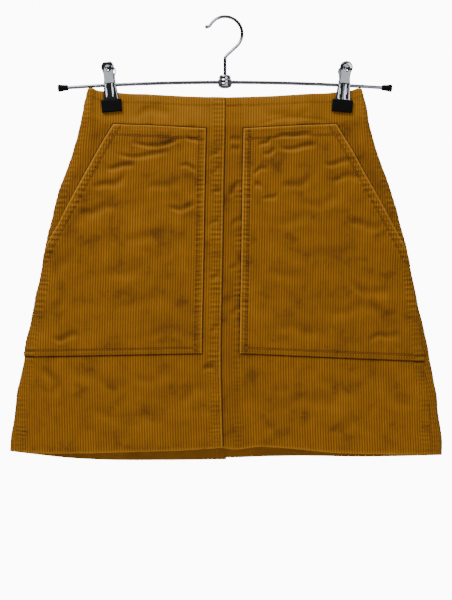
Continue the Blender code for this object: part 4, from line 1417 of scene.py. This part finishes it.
def build_clip(name, side, grip):
    pivot_x = grip.x + side * CLIP_ABOVE_PAD * math.sin(CLIP_TILT)
    place = Matrix.Translation((pivot_x, 0, rod_height(pivot_x)))
    place = place @ Matrix.Rotation(side * CLIP_TILT, 4, "Y")
    for which, facing, ear_x in (("front", 1, 0.0068), ("back", -1, 0.0052)):
        piece(
            f"{name}_{which}_lever_plate",
            lever_mesh(facing, place, ear_x),
            CHROME,
            [f"{name}_{which}_lever"],
            sharp=55,
        )
        bm = bmesh.new()
        bmesh.ops.create_cube(bm, size=1, matrix=Matrix.Diagonal((*PAD, 1)))
        bmesh.ops.subdivide_edges(bm, edges=bm.edges, cuts=6, use_grid_fill=True)
        for vertex in bm.verts:
            if vertex.co.y * facing < 0:  # the outer face swells a little, and its top dips round the lever
                vertex.co.y *= 1 + 0.10 * math.cos(vertex.co.x / PAD.x * math.pi)
                dip = max(0.0, vertex.co.z / PAD.z) * math.cos(vertex.co.x / PAD.x * math.pi)
                vertex.co.z -= 0.0008 * dip
        rim = [edge for edge in bm.edges if edge.calc_face_angle(0) > 0.9]
        bmesh.ops.bevel(bm, geom=rim, offset=0.0009, segments=3, profile=0.5, affect="EDGES", material=-1)
        outwards = -facing * (CLAMPED + SEAM_GAP + PAD.y / 2)
        at = place @ Matrix.Translation((0, outwards, -CLIP_ABOVE_PAD))
        pad = mesh_from(bm, at)
        piece(f"{name}_{which}_rubber_pad", pad, RUBBER, [f"{name}_{which}_pad"], sharp=60)
    turns, steps = 6, 18
    coil = []
    for i in range(turns * steps + 1):
        angle = i / steps * math.tau
        x = SPRING_LENGTH * (i / (turns * steps) - 0.5)
        coil.append(place @ Vector((x, SPRING * math.cos(angle), SPRING * math.sin(angle))))
    wire(f"{name}_coil_spring", coil, 0.00055, CHROME, [f"{name}_spring"], sides=2)


build_fronts()
build_backs()
build_pockets()
build_zip()
build_slider()
build_hook()
build_hub()
build_rod()
build_clip("clip_left", 1, GRIPS[0])
build_clip("clip_right", -1, GRIPS[1])


# ---- floor, light and camera ----
FLOOR_HEIGHT = -1.05


def build_studio():
    bm = bmesh.new()
    place = Matrix.Translation((0, -0.3, FLOOR_HEIGHT))
    bmesh.ops.create_grid(bm, x_segments=1, y_segments=1, size=1.0, matrix=place)
    floor = bpy.data.objects.new("floor", mesh_from(bm))
    floor.data.materials.append(
        speckled("painted_pale_floor", "#E6E5E2", "#F1F0EE", 0.05, (0.5, 0.7), 0.0001)
    )
    bpy.context.scene.collection.objects.link(floor)

    for name, spot, aim, size, power in (
        ("key", (-0.75, -1.15, 1.05), (0, 0, -0.32), (0.9, 0.7), 38),
        ("fill", (0.9, -1.9, -0.3), (0, 0, -0.34), (1.2, 1.2), 16),
        ("back_light", (0.6, 1.5, 0.6), (0, 0, -0.30), (1.2, 1.0), 24),
    ):
        data = bpy.data.lights.new(name, "AREA")
        data.shape = "RECTANGLE"
        data.size, data.size_y, data.energy = *size, power
        lamp = bpy.data.objects.new(name, data)
        lamp.location = spot
        lamp.rotation_euler = (Vector(aim) - Vector(spot)).to_track_quat("-Z", "Y").to_euler()
        bpy.context.scene.collection.objects.link(lamp)

    # a white backdrop, and a studio that is dim and dark-floored in front, which gives the chrome its streaks
    world = bpy.data.worlds.new("white_studio")
    bpy.context.scene.world = world
    world.use_nodes = True
    tree = world.node_tree
    heading = add(tree, "ShaderNodeTexCoord", {}, "Generated")
    parts = tree.nodes.new("ShaderNodeSeparateXYZ")
    tree.links.new(heading, parts.inputs[0])
    ahead = add(
        tree,
        "ShaderNodeMapRange",
        {"Value": parts.outputs[1], "From Min": -0.35, "From Max": 0.30, "To Min": 0.05, "To Max": 0.35},
        interpolation_type="SMOOTHSTEP",
    )
    above = add(
        tree,
        "ShaderNodeMapRange",
        {"Value": parts.outputs[2], "From Min": 0.30, "From Max": 0.70, "To Min": 0.0, "To Max": 0.8},
        interpolation_type="SMOOTHSTEP",
    )
    bright = add(tree, "ShaderNodeMath", {0: ahead, 1: above}, operation="MAXIMUM")
    backdrop = add(tree, "ShaderNodeLightPath", {})
    bright = add(
        tree, "ShaderNodeMapRange", {"Value": backdrop, "To Min": bright, "To Max": 11.0}
    )
    tree.links.new(bright, tree.nodes["Background"].inputs["Strength"])
    tree.nodes["Background"].inputs["Color"].default_value = (1, 1, 1, 1)

    camera_data = bpy.data.cameras.new("camera")
    camera_data.lens = 71.65
    camera = bpy.data.objects.new("camera", camera_data)
    camera.location = (0.00125, -1.50, -0.354)
    camera.rotation_euler = (math.pi / 2, 0, 0)
    bpy.context.scene.collection.objects.link(camera)
    bpy.context.scene.camera = camera


build_studio()
